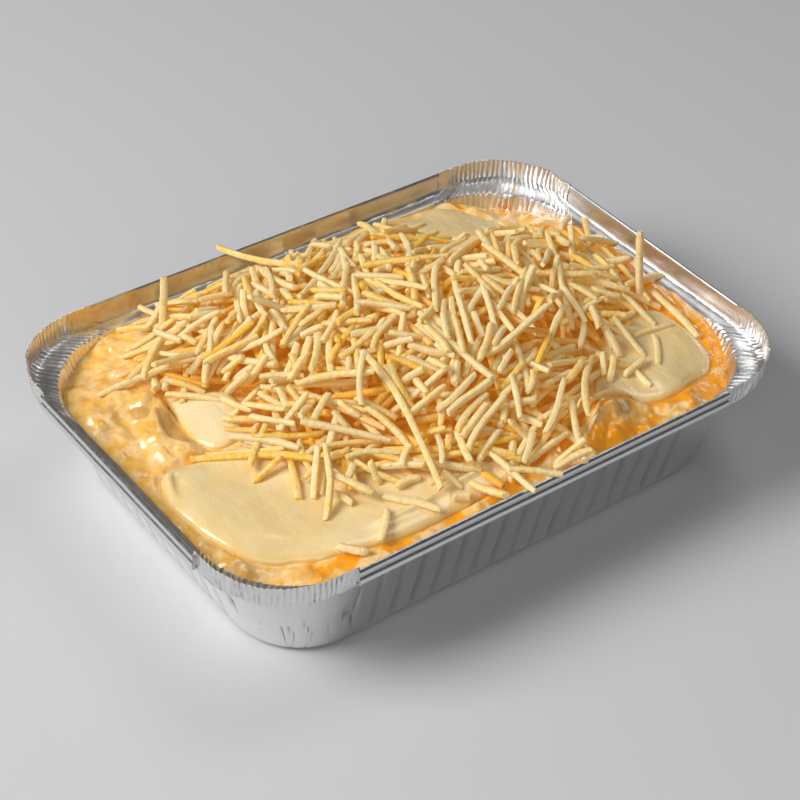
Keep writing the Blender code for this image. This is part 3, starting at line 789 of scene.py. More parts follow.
class Stations:
    """Places round the tray: four corners and the sides between them, for every outline alike.

    A side's stations are shares of its half length, closest where the rolled hem ends and the crimps begin.
    """

    def __init__(self, corner: int = 144, long_side: int = 256, short_side: int = 150, past_hem: int = 12,
                 hem_end: float = 0.006, corner_from: float = 0.86) -> None:
        """Spread the stations.

        Args:
            corner: Stations on each corner's arc.
            long_side: Stations on each long side.
            short_side: Stations on each short side.
            past_hem: How many of a side's stations are between each end of its hem and the corner.
            hem_end: Share of the half side over which the hem ends.
            corner_from: Share of the half side where the corner's pleats begin.
        """
        quarter, on_side, share = [], [], []
        straight = RIM_LINE[:2] - RIM_LINE[2]
        hem_reach = (HEM_HALF_LONG / straight[0], HEM_HALF_SHORT / straight[1])
        for index in range(4):
            reach = hem_reach[index % 2]
            count = (long_side, short_side)[index % 2]
            side = np.concatenate([
                np.linspace(-1, -reach - hem_end, past_hem + 1)[1:],
                np.linspace(-reach, reach, count - 2 * past_hem),
                np.linspace(reach + hem_end, 1, past_hem + 1)[:-1]])
            arc = np.linspace(0, 1, corner)
            quarter.append(np.full(len(arc) + len(side), index))
            on_side.append(np.repeat([False, True], [len(arc), len(side)]))
            share.append(np.concatenate([arc, side]))
        self.quarter, self.on_side, self.share = map(np.concatenate, (quarter, on_side, share))
        self.long = self.quarter % 2 == 0
        rim_half = np.where(self.long, *straight)
        hem_half = np.where(self.long, HEM_HALF_LONG, HEM_HALF_SHORT)
        along = np.abs(self.share) * rim_half
        self.hem = np.where(self.on_side, (along <= hem_half + 1e-6).astype(float), 0.0)
        near_corner = (np.abs(self.share) - corner_from) / (1.0 - corner_from)
        self.corner = np.where(self.on_side, smooth(near_corner), 1.0)
        places = self.place(RIM_LINE[None, :])
        step = np.hypot(*(places - np.roll(places, 1, axis=0)).T)
        step[0] = 0.0
        self.length = np.cumsum(step)

    def along(self, line: np.ndarray) -> np.ndarray:
        """Distance of each side station from its side's middle, on an outline."""
        half = np.where(self.long, line[..., 0], line[..., 1]) - line[..., 2]
        return self.share * half

    def place(self, line: np.ndarray) -> np.ndarray:
        """Point of each station on an outline.

        Corner stations turn a quarter round the arc's middle, and side stations lie on the straight between.

        Args:
            line: Half length, half width and corner radius, for each station or for all.

        Returns:
            Each station's x and y.
        """
        line = np.broadcast_to(line, (*line.shape[:-2], len(self.quarter), 3))
        half_x, half_y, radius = line[..., 0], line[..., 1], line[..., 2]
        angle = (self.quarter + self.share) * math.pi / 2
        sign_x = np.array([1, -1, -1, 1])[self.quarter]
        sign_y = np.array([1, 1, -1, -1])[self.quarter]
        corner_x = sign_x * (half_x - radius) + radius * np.cos(angle)
        corner_y = sign_y * (half_y - radius) + radius * np.sin(angle)
        along = self.along(line)
        side_x = np.choose(self.quarter, [-along, -half_x, along, half_x])
        side_y = np.choose(self.quarter, [half_y, -along, -half_y, along])
        x = np.where(self.on_side, side_x, corner_x)
        y = np.where(self.on_side, side_y, corner_y)
        return np.stack([x, y], -1)


# The section of the upstand, from the ledge up outside, over the rim and down inside. Each row has the
# crimped corner's inset and height, then the rolled hem's.
UPSTAND = (
    (-0.95, 37.2, -1.95, 37.6), (-0.85, 38.2, -1.75, 38.9), (-0.75, 39.0, -1.3, 38.5),
    (-0.65, 39.8, -0.85, 38.15), (-0.6, 40.5, -0.35, 38.35), (-0.5, 41.2, -0.08, 39.0),
    (-0.42, 41.9, 0.0, 39.8), (-0.35, 42.6, -0.22, 40.6), (-0.28, 43.3, -0.68, 41.2),
    (-0.2, 43.9, -0.6, 41.9), (-0.12, 44.4, -0.2, 42.7), (-0.06, 44.8, -0.34, 43.5),
    (-0.12, 45.0, -0.85, 44.05), (-0.3, 44.9, -1.4, 44.1), (-0.42, 44.3, -1.75, 43.7),
    (-0.6, 43.0, -1.9, 42.4), (-0.8, 41.5, -1.98, 41.0), (-0.95, 39.8, -2.1, 39.4),
    (-1.1, 38.2, -2.35, 38.0),
)

# Splashes of sauce on the upstand and the ledge: middle, radius and strength.
SPLASHES = (
    (-79.0, 75.5, 43.0, 3.5, 1.0), (-76.0, 75.5, 39.0, 4.5, 0.9), (-72.0, 75.5, 43.0, 5.0, 0.95),
    (-66.0, 75.5, 40.0, 5.5, 0.9), (-60.0, 75.5, 43.5, 4.0, 0.85), (-57.0, 75.5, 39.5, 3.0, 0.6),
    (-38.8, 75.8, 42.0, 1.6, 0.9), (-33.0, 75.8, 43.0, 1.1, 0.8), (-28.0, 75.8, 42.5, 1.2, 0.7),
    (97.0, 62.0, 37.0, 1.6, 0.6), (105.6, 30.0, 37.0, 1.2, 0.6),
)


@dataclass
class FoilTray:
    """The foil tray: fluted sloping walls, a ledge pleated in its corners, a hemmed and crimped upstand."""

    flute_pitch: float = 8.0
    flute_depth: float = 0.5
    flutes: tuple = (16, 9)
    pleats: float = 24.0
    corner_arc: float = 44.3
    crease_depth: float = 0.4
    dent_depth: float = 0.75
    crimp_depth: float = 0.55
    inner_pleat_depth: float = 0.5
    ledge_pleat_rise: float = 0.42
    hem_valley: float = 41.5
    skin: float = 0.35
    floor_top: float = 0.6

    def profile(self) -> tuple[np.ndarray, np.ndarray, np.ndarray]:
        """Section of the skin, from the middle of its underside over the rim to the middle inside.

        Returns:
            Outline and height of each row in the corners, the same for the hemmed sides, and each row's share
            of flutes, creases, crimps and ledge pleats, with -1 for the inner wall's pleats.
        """
        rows = []

        def add(corner: np.ndarray, corner_z: float, hem: np.ndarray, hem_z: float, marks: tuple) -> None:
            """Add a row."""
            rows.append((*corner, corner_z, *hem, hem_z, *marks))

        def same(line: np.ndarray, z: float, marks: tuple) -> None:
            """Add a row that is alike all round."""
            add(line, z, line, z, marks)

        base, least = wall_line(0.0), [8.0, 5.0, 2.0]
        for inset in (50.0, 28.0, 12.0, 5.0, 2.2):
            same(np.maximum(base - inset, least), 0.0, (0, 0, 0, 0))
        same(base - 0.9, 0.35, (0, 0.3, 0, 0))
        same(base - 0.2, 1.1, (0.1, 0.6, 0, 0))
        for z in (2.2, 3.2, 4.4, 6.5, 9.5, 12.5, 15.5, 18.5, 21.5, 24.5, 27.5, 30.5, 33.0, 34.6, 35.6):
            fade = float(smooth((z - 1.0) / 4.0) * smooth((36.0 - z) / 2.4))
            same(wall_line(z), z, (fade, min(1.0, (z + 4.0) / 20.0), 0, 0))
        same(LEDGE_LINE + 0.1, LEDGE_UNDER_Z, (0, 0.2, 0, 0.3))
        same((LEDGE_LINE + LEDGE_OUTER) / 2, LEDGE_UNDER_Z, (0, 0, 0, 1))
        same(LEDGE_OUTER - 0.2, LEDGE_UNDER_Z + 0.05, (0, 0, 0.3, 0.5))
        for corner_in, corner_z, hem_in, hem_z in UPSTAND:
            add(CORNER_LINE + corner_in, corner_z, RIM_LINE + hem_in, hem_z, (0, 0, 1, 0))
        same(LEDGE_OUTER - 0.55, 37.15, (0, 0, 0.5, 0.6))
        for share in (0.12, 0.35, 0.6, 0.85):
            same(LEDGE_OUTER + (LEDGE_LINE - self.skin - LEDGE_OUTER) * share - 0.3, LEDGE_Z, (0, 0, 0, 1))
        same(LEDGE_LINE - 0.75, LEDGE_Z - 0.25, (0, 0.5, 0, 0.8))
        for z in (36.0, 34.8, 33.4, 32.0, 30.5, 29.0, 27.0, 20.0, 10.0, 3.0):
            same(wall_line(z) - FOIL_IN_CAD, z, (0.35 * float(smooth((36.0 - z) / 3.0)), 0.4, 0, -1))
        for inset in (2.4, 12.0, 50.0):
            same(np.maximum(base - inset, least), self.floor_top, (0, 0, 0, 0))
        table = np.array(rows)
        return table[:, 0:4], table[:, 4:8], table[:, 8:12]

    def flute_stripes(self, stations: Stations, lines: np.ndarray,
                      heights: np.ndarray) -> tuple[np.ndarray, np.ndarray]:
        """Flutes: a pressed stripe with eased sides every pitch, each a little off its place and strength.

        Args:
            stations: Places round the tray.
            lines: Outline of each row and station.
            heights: Height of each row and station.

        Returns:
            How far each point is in a stripe, from 0 to 1, and how strong the stripe is there.
        """
        along = stations.along(lines)
        count = np.where(stations.long, *self.flutes)
        phase = along / self.flute_pitch + (count % 2 == 0) * 0.5
        number = np.floor(phase + 0.5)
        cell = phase - number
        wobble = 0.07 * noise(number * 9.0, heights, 22.0, 5)
        stripe = smooth((cell + wobble + 0.02) / 0.16) * smooth((0.42 - cell - wobble) / 0.16)
        in_field = stations.on_side * smooth((count / 2 * self.flute_pitch - np.abs(along)) / 2.0)
        return stripe * in_field, 0.75 + 0.35 * noise(number * 9.0, heights, 15.0, 9)

    @staticmethod
    def wandering_dents(around: np.ndarray, heights: np.ndarray) -> np.ndarray:
        """Thin dents from 0 to 1, in patches: where a bent noise field is near 0."""
        valley = np.abs(noise(around + 2.2 * noise(around, heights, 7.0, 31), heights * 0.3, 5.5, 32))
        return smooth((0.10 - valley) / 0.10) * smooth(0.5 + 1.6 * noise(around, heights, 13.0, 33))

    def pleat_waves(self, around: np.ndarray, heights: np.ndarray) -> tuple[np.ndarray, np.ndarray]:
        """Sharp waves at the pleats' pitch, each a little off its place.

        Args:
            around: Length round the tray at each point.
            heights: Height of each point.

        Returns:
            The waves, from 0 to about 1, and how strong they are at each point.
        """
        turn = around / self.corner_arc * self.pleats + 0.35 * noise(around, heights, 4.0, 41)
        saw = 2.0 * np.abs(turn - np.floor(turn) - 0.5) ** 0.8
        return saw, 0.65 + 0.5 * noise(around, heights * 0.2, 3.1, 43)

    def relief(self, stations: Stations, lines: np.ndarray, heights: np.ndarray,
               marks: np.ndarray) -> tuple[np.ndarray, np.ndarray, np.ndarray]:
        """How far each point is pushed outwards and up, and how much painted shade its groove gets.

        Flutes, dents and pleats are each weighed by their row's share, and dents and pleats by how near the
        corner they are. The rolled hem has no crimps but one valley along it.

        Args:
            stations: Places round the tray.
            lines: Outline of each row and station.
            heights: Height of each row and station.
            marks: Each row's shares.

        Returns:
            Outward and upward moves, and the painted groove shade from 0 to 1.
        """
        flute, crease, crimp, pleat = (marks[:, i:i + 1] for i in range(4))
        around = stations.length[None, :] + 0.0 * heights
        corner = stations.corner[None, :]
        stripe, strength = self.flute_stripes(stations, lines, heights)
        outward = -self.flute_depth * flute * stripe * strength
        # The groove numbers from here on are painted shade in flutes, dents, the hem's valley, crimps and
        # pleats.
        groove_shade = 0.35 * flute * stripe * np.clip(strength, 0.0, 1.0)
        dent = self.wandering_dents(around, heights)
        outward += crease * self.crease_depth * (cloud(around, heights * 1.4, 26.0, 21, 3) - 0.35)
        outward -= crease * np.maximum(corner, 0.12) * self.dent_depth * dent
        groove_shade = np.maximum(groove_shade, crease * corner * 0.8 * dent)
        saw, uneven = self.pleat_waves(around, heights)
        outward -= crimp * corner * self.crimp_depth * saw * uneven
        outward += crimp * (1.0 - stations.hem) * 0.35 * noise(around, heights, 6.0, 45)
        outward += crimp * stations.hem * 0.05 * cloud(around, heights * 2.0, 14.0, 46, 2)
        valley_line = np.exp(-((heights - self.hem_valley) / 0.35) ** 2)
        groove_shade = np.maximum(groove_shade, 0.45 * crimp * stations.hem * valley_line)
        ledge, inner = np.maximum(pleat, 0.0), np.maximum(-pleat, 0.0)
        outward -= inner * corner * self.inner_pleat_depth * saw * uneven * smooth((heights - 20.0) / 16.0)
        groove_shade = np.maximum(groove_shade, (crimp + inner) * corner * 0.85 * smooth((0.26 - saw) / 0.26) * uneven)
        groove_shade = np.maximum(groove_shade, ledge * corner * 0.45 * smooth((0.3 - saw) / 0.3))
        swell = 0.18 * cloud(around, lines[..., 0], 9.0, 47, 3)
        upward = ledge * (corner * self.ledge_pleat_rise * (saw * uneven - 0.45) + swell)
        ragged = np.abs(noise(around, heights * 0.0, 2.6, 48)) * smooth((heights - 42.5) / 2.0)
        upward -= crimp * corner * 0.5 * ragged
        return outward, upward, groove_shade

    def smears(self, points: np.ndarray, inside: np.ndarray, inner_wall: np.ndarray) -> np.ndarray:
        """Where sauce was splashed on the foil: soft ragged spots, and streaks on the back.

        Args:
            points: Places on the foil.
            inside: Which of them are inside the tray.
            inner_wall: Which of them are on the inner wall, wet where the cream ends.

        Returns:
            The film of sauce at each place, from 0 to 1.
        """
        total = np.zeros(len(points))
        for *middle, radius, amount in SPLASHES:
            away = ((points - middle) ** 2).sum(1) / radius ** 2
            total = np.maximum(total, amount * np.exp(-away ** 2 / 1.5))
        level = 35.8 + 0.9 * noise(points[:, 0], points[:, 1], 9.0, 61)
        wet = np.where(inner_wall, smooth((level - points[:, 2]) / 2.5), 0.0)
        ragged = 1.0 + 0.35 * noise(points[:, 0], points[:, 2], 2.6, 63)
        streaks = 0.14 + 0.3 * noise(points[:, 0] * 0.15, points[:, 2], 1.5, 65)
        streaks = streaks * smooth((points[:, 1] - 70.0) / 4.0)
        return np.maximum(np.maximum(total * ragged, streaks) * inside, 0.2 * wet)

    def build(self) -> bpy.types.Object:
        """Carry the profile round the stations, close both ends and dress it.

        Returns:
            The tray.
        """
        stations = Stations()
        corner, hem, marks = self.profile()
        weight = stations.hem[None, :, None]
        rows = corner[:, None, :] + (hem - corner)[:, None, :] * weight
        lines, heights = rows[..., :3], rows[..., 3]
        outward, upward, groove_shade = self.relief(stations, lines, heights, marks)
        places = stations.place(lines + outward[..., None])
        points = np.concatenate([places, (heights + upward)[..., None]], -1).reshape(-1, 3)
        around, down = len(stations.quarter), len(rows)
        first, last = np.arange(around), np.arange(around) + (down - 1) * around
        vertices = np.vstack([points, [0.0, 0.0, 0.0], [0.0, 0.0, self.floor_top]])
        faces = [grid_faces(down, around, wrap=True), fan_faces(first, len(points))[:, ::-1],
                 fan_faces(last, len(points) + 1)]
        tray = make_piece("tray_of_foil", vertices, faces, sharp=38.0)
        row_inside = np.arange(down) > np.argmax(corner[:, 3])
        inner_wall = np.append(np.repeat(marks[:, 3] < 0.0, around), [False, False])
        inside = np.append(np.repeat(row_inside, around), [False, False])
        mark(tray, "smear", self.smears(vertices, inside, inner_wall))
        mark(tray, "inside", inside)
        # Painted shade on the inner faces of the straight sides.
        shaded = 0.22 * row_inside[:, None] * (1.0 - stations.corner)[None, :]
        groove_shade = np.maximum(groove_shade, shaded)
        mark(tray, "groove_shade", np.append(groove_shade.ravel(), [0.0, 0.0]))
        crumple = 0.1 + 0.9 * stations.corner[None, :] * np.clip(np.abs(marks).sum(1), 0.0, 1.0)[:, None]
        mark(tray, "crumple", np.append(crumple.ravel(), [0.0, 0.0]))
        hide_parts("foil_tray")
        FoilFinish().dress(tray)
        return tray


# Outlines of the slices on the plan, where they show and a little way under the straws.
CHEESE_OUTLINES = {
    "cheese_slice_front": (
        (-98.5, -11), (-98, -24), (-96, -37), (-90, -48), (-79, -55.5), (-66, -61.5), (-50, -65.5),
        (-30, -66), (-8, -65), (8, -61), (-4, -52), (-18, -42), (-36, -28), (-50, -16), (-60, -7),
        (-74, -3.5), (-86, -1.5), (-94, -2.5)),
    "cheese_slice_back": (
        (44, 66), (57, 67.5), (69, 68), (76, 60), (83, 46), (85, 38.5), (72, 34), (54, 36), (44, 48)),
    "cheese_slice_right": (
        (91, -24), (93, -36), (93, -45), (90.5, -52), (84, -56), (72, -59), (63, -61), (56, -59),
        (48, -54), (40, -52), (48, -40), (60, -28), (74, -20)),
    "cheese_slice_left": (
        (-73.5, 27), (-75, 20), (-76.5, 11), (-76, 3.5), (-72, -1.5), (-66, -1.5), (-60, 4), (-56, 12),
        (-57, 20), (-65, 25)),
}
PALER_SLICES = {"cheese_slice_left": 0.8}
CURLED_SLICE = "cheese_slice_front"

# Width and height of a slice's rounded edge, its rise further in, and how much its top swells.
CHEESE_EDGE = 3.2
CHEESE_EDGE_HEIGHT = 1.75
CHEESE_RISE = 0.8
CHEESE_SWELL = 0.45


def cheese_lift(x: np.ndarray, y: np.ndarray) -> np.ndarray:
    """Height of the cheese over the filling's smooth level, and far below it where no slice lies.

    Args:
        x: Places along the tray.
        y: Places across it.

    Returns:
        The height at each place.
    """
    lift = np.full_like(x, NOWHERE)
    for index, outline in enumerate(CHEESE_OUTLINES.values()):
        inward = -outline_distance(x, y, closed_curve(outline, 150))
        top = cheese_profile(inward) + CHEESE_SWELL * cloud(x, y, 24.0, 71 + index, 3)
        lift = np.where(inward > -0.2, np.maximum(lift, top), lift)
    return lift


def cheese_profile(inward: np.ndarray) -> np.ndarray:
    """Height of a slice's top over what it lies on: a quarter circle at its edge, then a slow rise."""
    share = np.clip(inward / CHEESE_EDGE, 0.0, 1.0)
    return CHEESE_EDGE_HEIGHT * np.sqrt(share * (2.0 - share)) + CHEESE_RISE * smooth(inward / 9.0) + 0.1


# Bare sides of chicken chunks that the cream leaves free: outlines on the plan.
BARE_SIDES = (
    ((-79.5, 24), (-76.8, 19), (-77.6, 6), (-80.5, 5), (-83.5, 12)),
    ((-86, 30), (-82, 26), (-84, 22), (-88, 25)),
    ((48, -58), (44, -62), (38, -62), (41, -57)),
)


@dataclass
class ChickenFilling:
    """Chicken in cream: a lumpy closed body that fills the tray up to its walls."""

    columns: int = 330
    rows: int = 220
    lumps: int = 150
    inset: float = 0.86
    bottom: float = 1.2
    bottom_share: float = 0.86
    ridge: tuple = (31.0, -58.0, 50.0, -56.0)
    ridge_height: float = 2.6

    def coarse(self, x: np.ndarray, y: np.ndarray) -> tuple[np.ndarray, np.ndarray]:
        """Height of the filling's top as the solid has it.

        Its lumps are bell-shaped spots drawn from the same seed as the solid's, with flatter spots for the
        chunks and a bell-shaped ridge along a line.

        Args:
            x: Places along the tray.
            y: Places across it.

        Returns:
            The height, and how free each place is of what lies on it, from 0 to 1.
        """
        draw = random.Random(SEED)
        swell = np.zeros_like(x)
        for _ in range(self.lumps):
            cx, cy = draw.uniform(-100, 100), draw.uniform(-68, 68)
            radius, height = draw.uniform(4.2, 7.0), draw.uniform(0.7, 1.9)
            swell += height * np.exp(-((x - cx) ** 2 + (y - cy) ** 2) / radius ** 2)
        for cx, cy, radius, height in CHUNKS:
            swell += height * np.exp(-(((x - cx) ** 2 + (y - cy) ** 2) / radius ** 2) ** 2)
        share = np.clip((x - self.ridge[0]) / (self.ridge[2] - self.ridge[0]), 0.0, 1.0)
        across = np.hypot(x - self.ridge[0] - share * (self.ridge[2] - self.ridge[0]),
                          y - self.ridge[1] - share * (self.ridge[3] - self.ridge[1]))
        swell += self.ridge_height * np.exp(-(across / 4.0) ** 2)
        outside, _ = heap_reach(x, y)
        free = smooth((outside - 2.0) / 6.0)
        for outline in CHEESE_OUTLINES.values():
            free = free * smooth((outline_distance(x, y, closed_curve(outline, 120)) + 0.3) / 3.0)
        return smooth_level(x, y) + swell * free, free

    def detail(self, x: np.ndarray, y: np.ndarray) -> np.ndarray:
        """Finer lumps: rounded domes of two sizes, bent by a coarser field, and soft swells between them.

        Args:
            x: Places along the tray.
            y: Places across it.

        Returns:
            Their height at each place.
        """
        wx = x + 2.6 * noise(x, y, 8.0, 81)
        wy = y + 2.6 * noise(x, y, 8.0, 82)
        large, small = domes(wx, wy, 11.0, 83), domes(wx, wy, 5.0, 87)
        fine = 1.8 * cloud(x, y, 7.0, 85, 2) + 0.55 * cloud(x, y, 3.0, 89, 2)
        return 2.6 * (large - 0.72) + 1.0 * (small - 0.7) + fine

    def top(self, x: np.ndarray, y: np.ndarray) -> tuple[np.ndarray, np.ndarray, np.ndarray]:
        """The finished top: the solid's height and the finer lumps, which fade under what lies on the cream.

        A hollow is where the finer lumps are low, or where oil gathers along the front and at the right end.

        Args:
            x: Places along the tray.
            y: Places across it.

        Returns:
            The height, how much of a hollow each place is, and how bare of cream, the last two from 0 to 1.
        """
        level, free = self.coarse(x, y)
        bare = np.zeros_like(x)
        for outline in BARE_SIDES:
            away = outline_distance(x, y, closed_curve(outline, 60)) + 0.4 * noise(x, y, 2.0, 93)
            bare = np.maximum(bare, smooth(0.5 - away / 0.8))
        fine = self.detail(x, y) * (1.0 - 0.85 * bare)
        edge = smooth(-inside_distance(x, y, wall_line(34.0) - 0.8) / 3.0)
        oily = smooth((x + 92.0) / 24.0) * smooth((-40.0 - y) / 10.0) + smooth((x - 84.0) / 8.0)
        oily = 0.9 * np.clip(oily, 0.0, 1.0) * smooth(0.85 + 2.6 * cloud(x, y, 7.0, 95, 3))
        hollow = (np.clip(0.1 - 0.4 * fine, 0.0, 0.8) * free + oily) * (1.0 - bare)
        shown = fine * (0.35 + 0.65 * free) * (0.45 + 0.55 * edge)
        return level + shown * np.maximum(free, 0.12), hollow, bare

    def build(self) -> bpy.types.Object:
        """Make the closed body.

        The top is a square grid drawn onto the rounded outline of the tray's inside, and a skirt follows the
        wall down to a closed bottom.

        Returns:
            The filling.
        """
        u, v = np.meshgrid(np.linspace(-1, 1, self.columns), np.linspace(-1, 1, self.rows))
        z = np.full_like(u, WALL_LEVEL)
        reach = np.maximum(np.maximum(np.abs(u), np.abs(v)), 1e-9)
        for _ in range(3):
            line = wall_line(z) - self.inset
            shrink = self.edge_shrink(u / reach * line[..., 0], v / reach * line[..., 1], line)
            x, y = u * line[..., 0] * shrink, v * line[..., 1] * shrink
            z, hollow, bare = self.top(x, y)
        top = np.stack([x, y, z], -1)
        border = np.concatenate([top[0, :-1], top[:-1, -1], top[-1, :0:-1], top[:0:-1, 0]])
        low = border * np.array([self.bottom_share, self.bottom_share, 0.0])
        low[:, 2] = self.bottom
        count = len(border)
        first = top.size // 3
        index = np.arange(first).reshape(top.shape[:2])
        ring = np.concatenate([index[0, :-1], index[:-1, -1], index[-1, :0:-1], index[:0:-1, 0]])
        lower = np.arange(count) + first
        skirt = np.stack([lower, np.roll(lower, -1), np.roll(ring, -1), ring], -1)
        vertices = np.vstack([top.reshape(-1, 3), low, [0.0, 0.0, self.bottom]])
        faces = [grid_faces(*top.shape[:2]), skirt, fan_faces(lower, first + count)[:, ::-1]]
        filling = make_piece("cream_and_chicken", vertices, faces, sharp=80.0)
        mark(filling, "hollow", np.concatenate([hollow.ravel(), np.zeros(count + 1)]))
        mark(filling, "bare", np.concatenate([bare.ravel(), np.zeros(count + 1)]))
        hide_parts("chicken_filling")
        CreamFinish().dress(filling)
        return filling

    @staticmethod
    def edge_shrink(x: np.ndarray, y: np.ndarray, line: np.ndarray) -> np.ndarray:
        """Scale that brings a point of a rectangle's edge onto its rounded corner.

        It is where the ray from the middle meets the corner's circle, the larger root of a quadratic.

        Args:
            x: Points along the tray.
            y: Points across it.
            line: The outline's half length, half width and corner radius.

        Returns:
            The scale of each point, 1 on the straight sides.
        """
        x, y, radius = np.abs(x), np.abs(y), line[..., 2]
        core_x, core_y = line[..., 0] - radius, line[..., 1] - radius
        along = x * core_x + y * core_y
        square = x * x + y * y
        root = np.sqrt(np.maximum(along ** 2 - square * (core_x ** 2 + core_y ** 2 - radius ** 2), 0.0))
        in_corner = (x > core_x) & (y > core_y)
        return np.where(in_corner, (along + root) / np.maximum(square, 1e-9), 1.0)


@dataclass
class CheeseSlice:
    """A melted slice draped over the filling, with a rounded edge that sinks into the cream."""

    node: str
    stations: int = 220
    rings: int = 46
    under: float = 1.6
    waves: float = 0.35
    fold_inset: float = 7.5
    fold_width: float = 1.1
    fold_height: float = 1.1
    lip: tuple = (-96.0, -5.0)
    lip_reach: float = 12.0

    def lift(self, x: np.ndarray, y: np.ndarray, inward: np.ndarray) -> tuple[np.ndarray, np.ndarray]:
        """Height of the slice's top over the filling's smooth level.

        To the profile and its swells come a fold, a bell curve at one distance from the edge along the front,
        and a curled lip, a raised edge with a trough behind it.

        Args:
            x: Places along the tray.
            y: Places across it.
            inward: How far each place is inside the slice's outline.

        Returns:
            The height, and how much the lip curls at each place, from 0 to 1.
        """
        index = list(CHEESE_OUTLINES).index(self.node)
        lift = cheese_profile(inward) + CHEESE_SWELL * cloud(x, y, 24.0, 71 + index, 3) * smooth(inward / 4.0)
        lift = lift + self.waves * cloud(x, y, 10.0, 75 + index, 2) * smooth(inward / 5.0)
        folded = smooth((x + 60.0) / 25.0) * smooth((45.0 - x) / 12.0) * smooth((-50.0 - y) / 3.0)
        fold = folded * np.exp(-((inward - self.fold_inset) / self.fold_width) ** 2)
        lift = lift + self.fold_height * fold
        curl = np.zeros_like(lift)
        if self.node == CURLED_SLICE:
            curl = smooth(1.0 - np.hypot(x - self.lip[0], y - self.lip[1]) / self.lip_reach)
        edge = 1.6 * np.exp(-((inward - 2.6) / 1.4) ** 2)
        trough = 0.6 * np.exp(-((inward - 5.5) / 1.5) ** 2)
        return lift + curl * (edge - trough), curl

    def build(self) -> bpy.types.Object:
        """Make the slice as rings that shrink from its outline to its middle, above and below.

        Returns:
            The slice.
        """
        outline = closed_curve(CHEESE_OUTLINES[self.node], self.stations)
        wave = 0.9 * cloud(*outline.T, 9.0, 91, 3)
        middle = outline.mean(0)
        away = (outline - middle) / np.linalg.norm(outline - middle, axis=1)[:, None]
        outline = outline + away * wave[:, None]
        share = np.linspace(1.0, 0.0, self.rings + 1)[:-1] ** 0.8
        places = middle + (outline - middle)[None] * share[:, None, None]
        x, y = places[..., 0], places[..., 1]
        inward = np.maximum(-outline_distance(x, y, outline), 0.0)
        level = smooth_level(x, y)
        lift, curl = self.lift(x, y, inward)
        upper = np.stack([x, y, level + lift], -1)
        lower = np.stack([x, y, level - self.under], -1)[::-1]
        skin = np.concatenate([lower, upper]).reshape(-1, 3)
        rings = 2 * self.rings
        height = float(upper[-1, :, 2].mean())
        vertices = np.vstack([skin, [*middle, lower[0, :, 2].mean()], [*middle, height]])
        first, last = np.arange(self.stations), np.arange(self.stations) + (rings - 1) * self.stations
        faces = [grid_faces(rings, self.stations, wrap=True), fan_faces(first, len(skin))[:, ::-1],
                 fan_faces(last, len(skin) + 1)]
        piece = make_piece(self.node.replace("cheese", "melted_cheese"), vertices, faces, sharp=70.0)
        thin = np.maximum(np.clip(1.0 - inward / 3.0, 0.0, 1.0), curl * np.exp(-((inward - 5.5) / 1.8) ** 2))
        mark(piece, "thin", np.concatenate([np.ones(lower.size // 3), thin.ravel(), [1.0, 0.0]]))
        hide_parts(self.node)
        CheeseFinish().dress(piece, PALER_SLICES.get(self.node, 0.0))
        return piece


# The pile's half length and half width, the height of the rim with a little room, and how far the inside of
# the heap, painted in the straws' shade colour, is below the solid's core and within its foot.
PILE_HALF = (112.0, 80.0)
OVER_RIM = 44.6
INSIDE_DROP = 9.5
INSIDE_INSET = 1.5


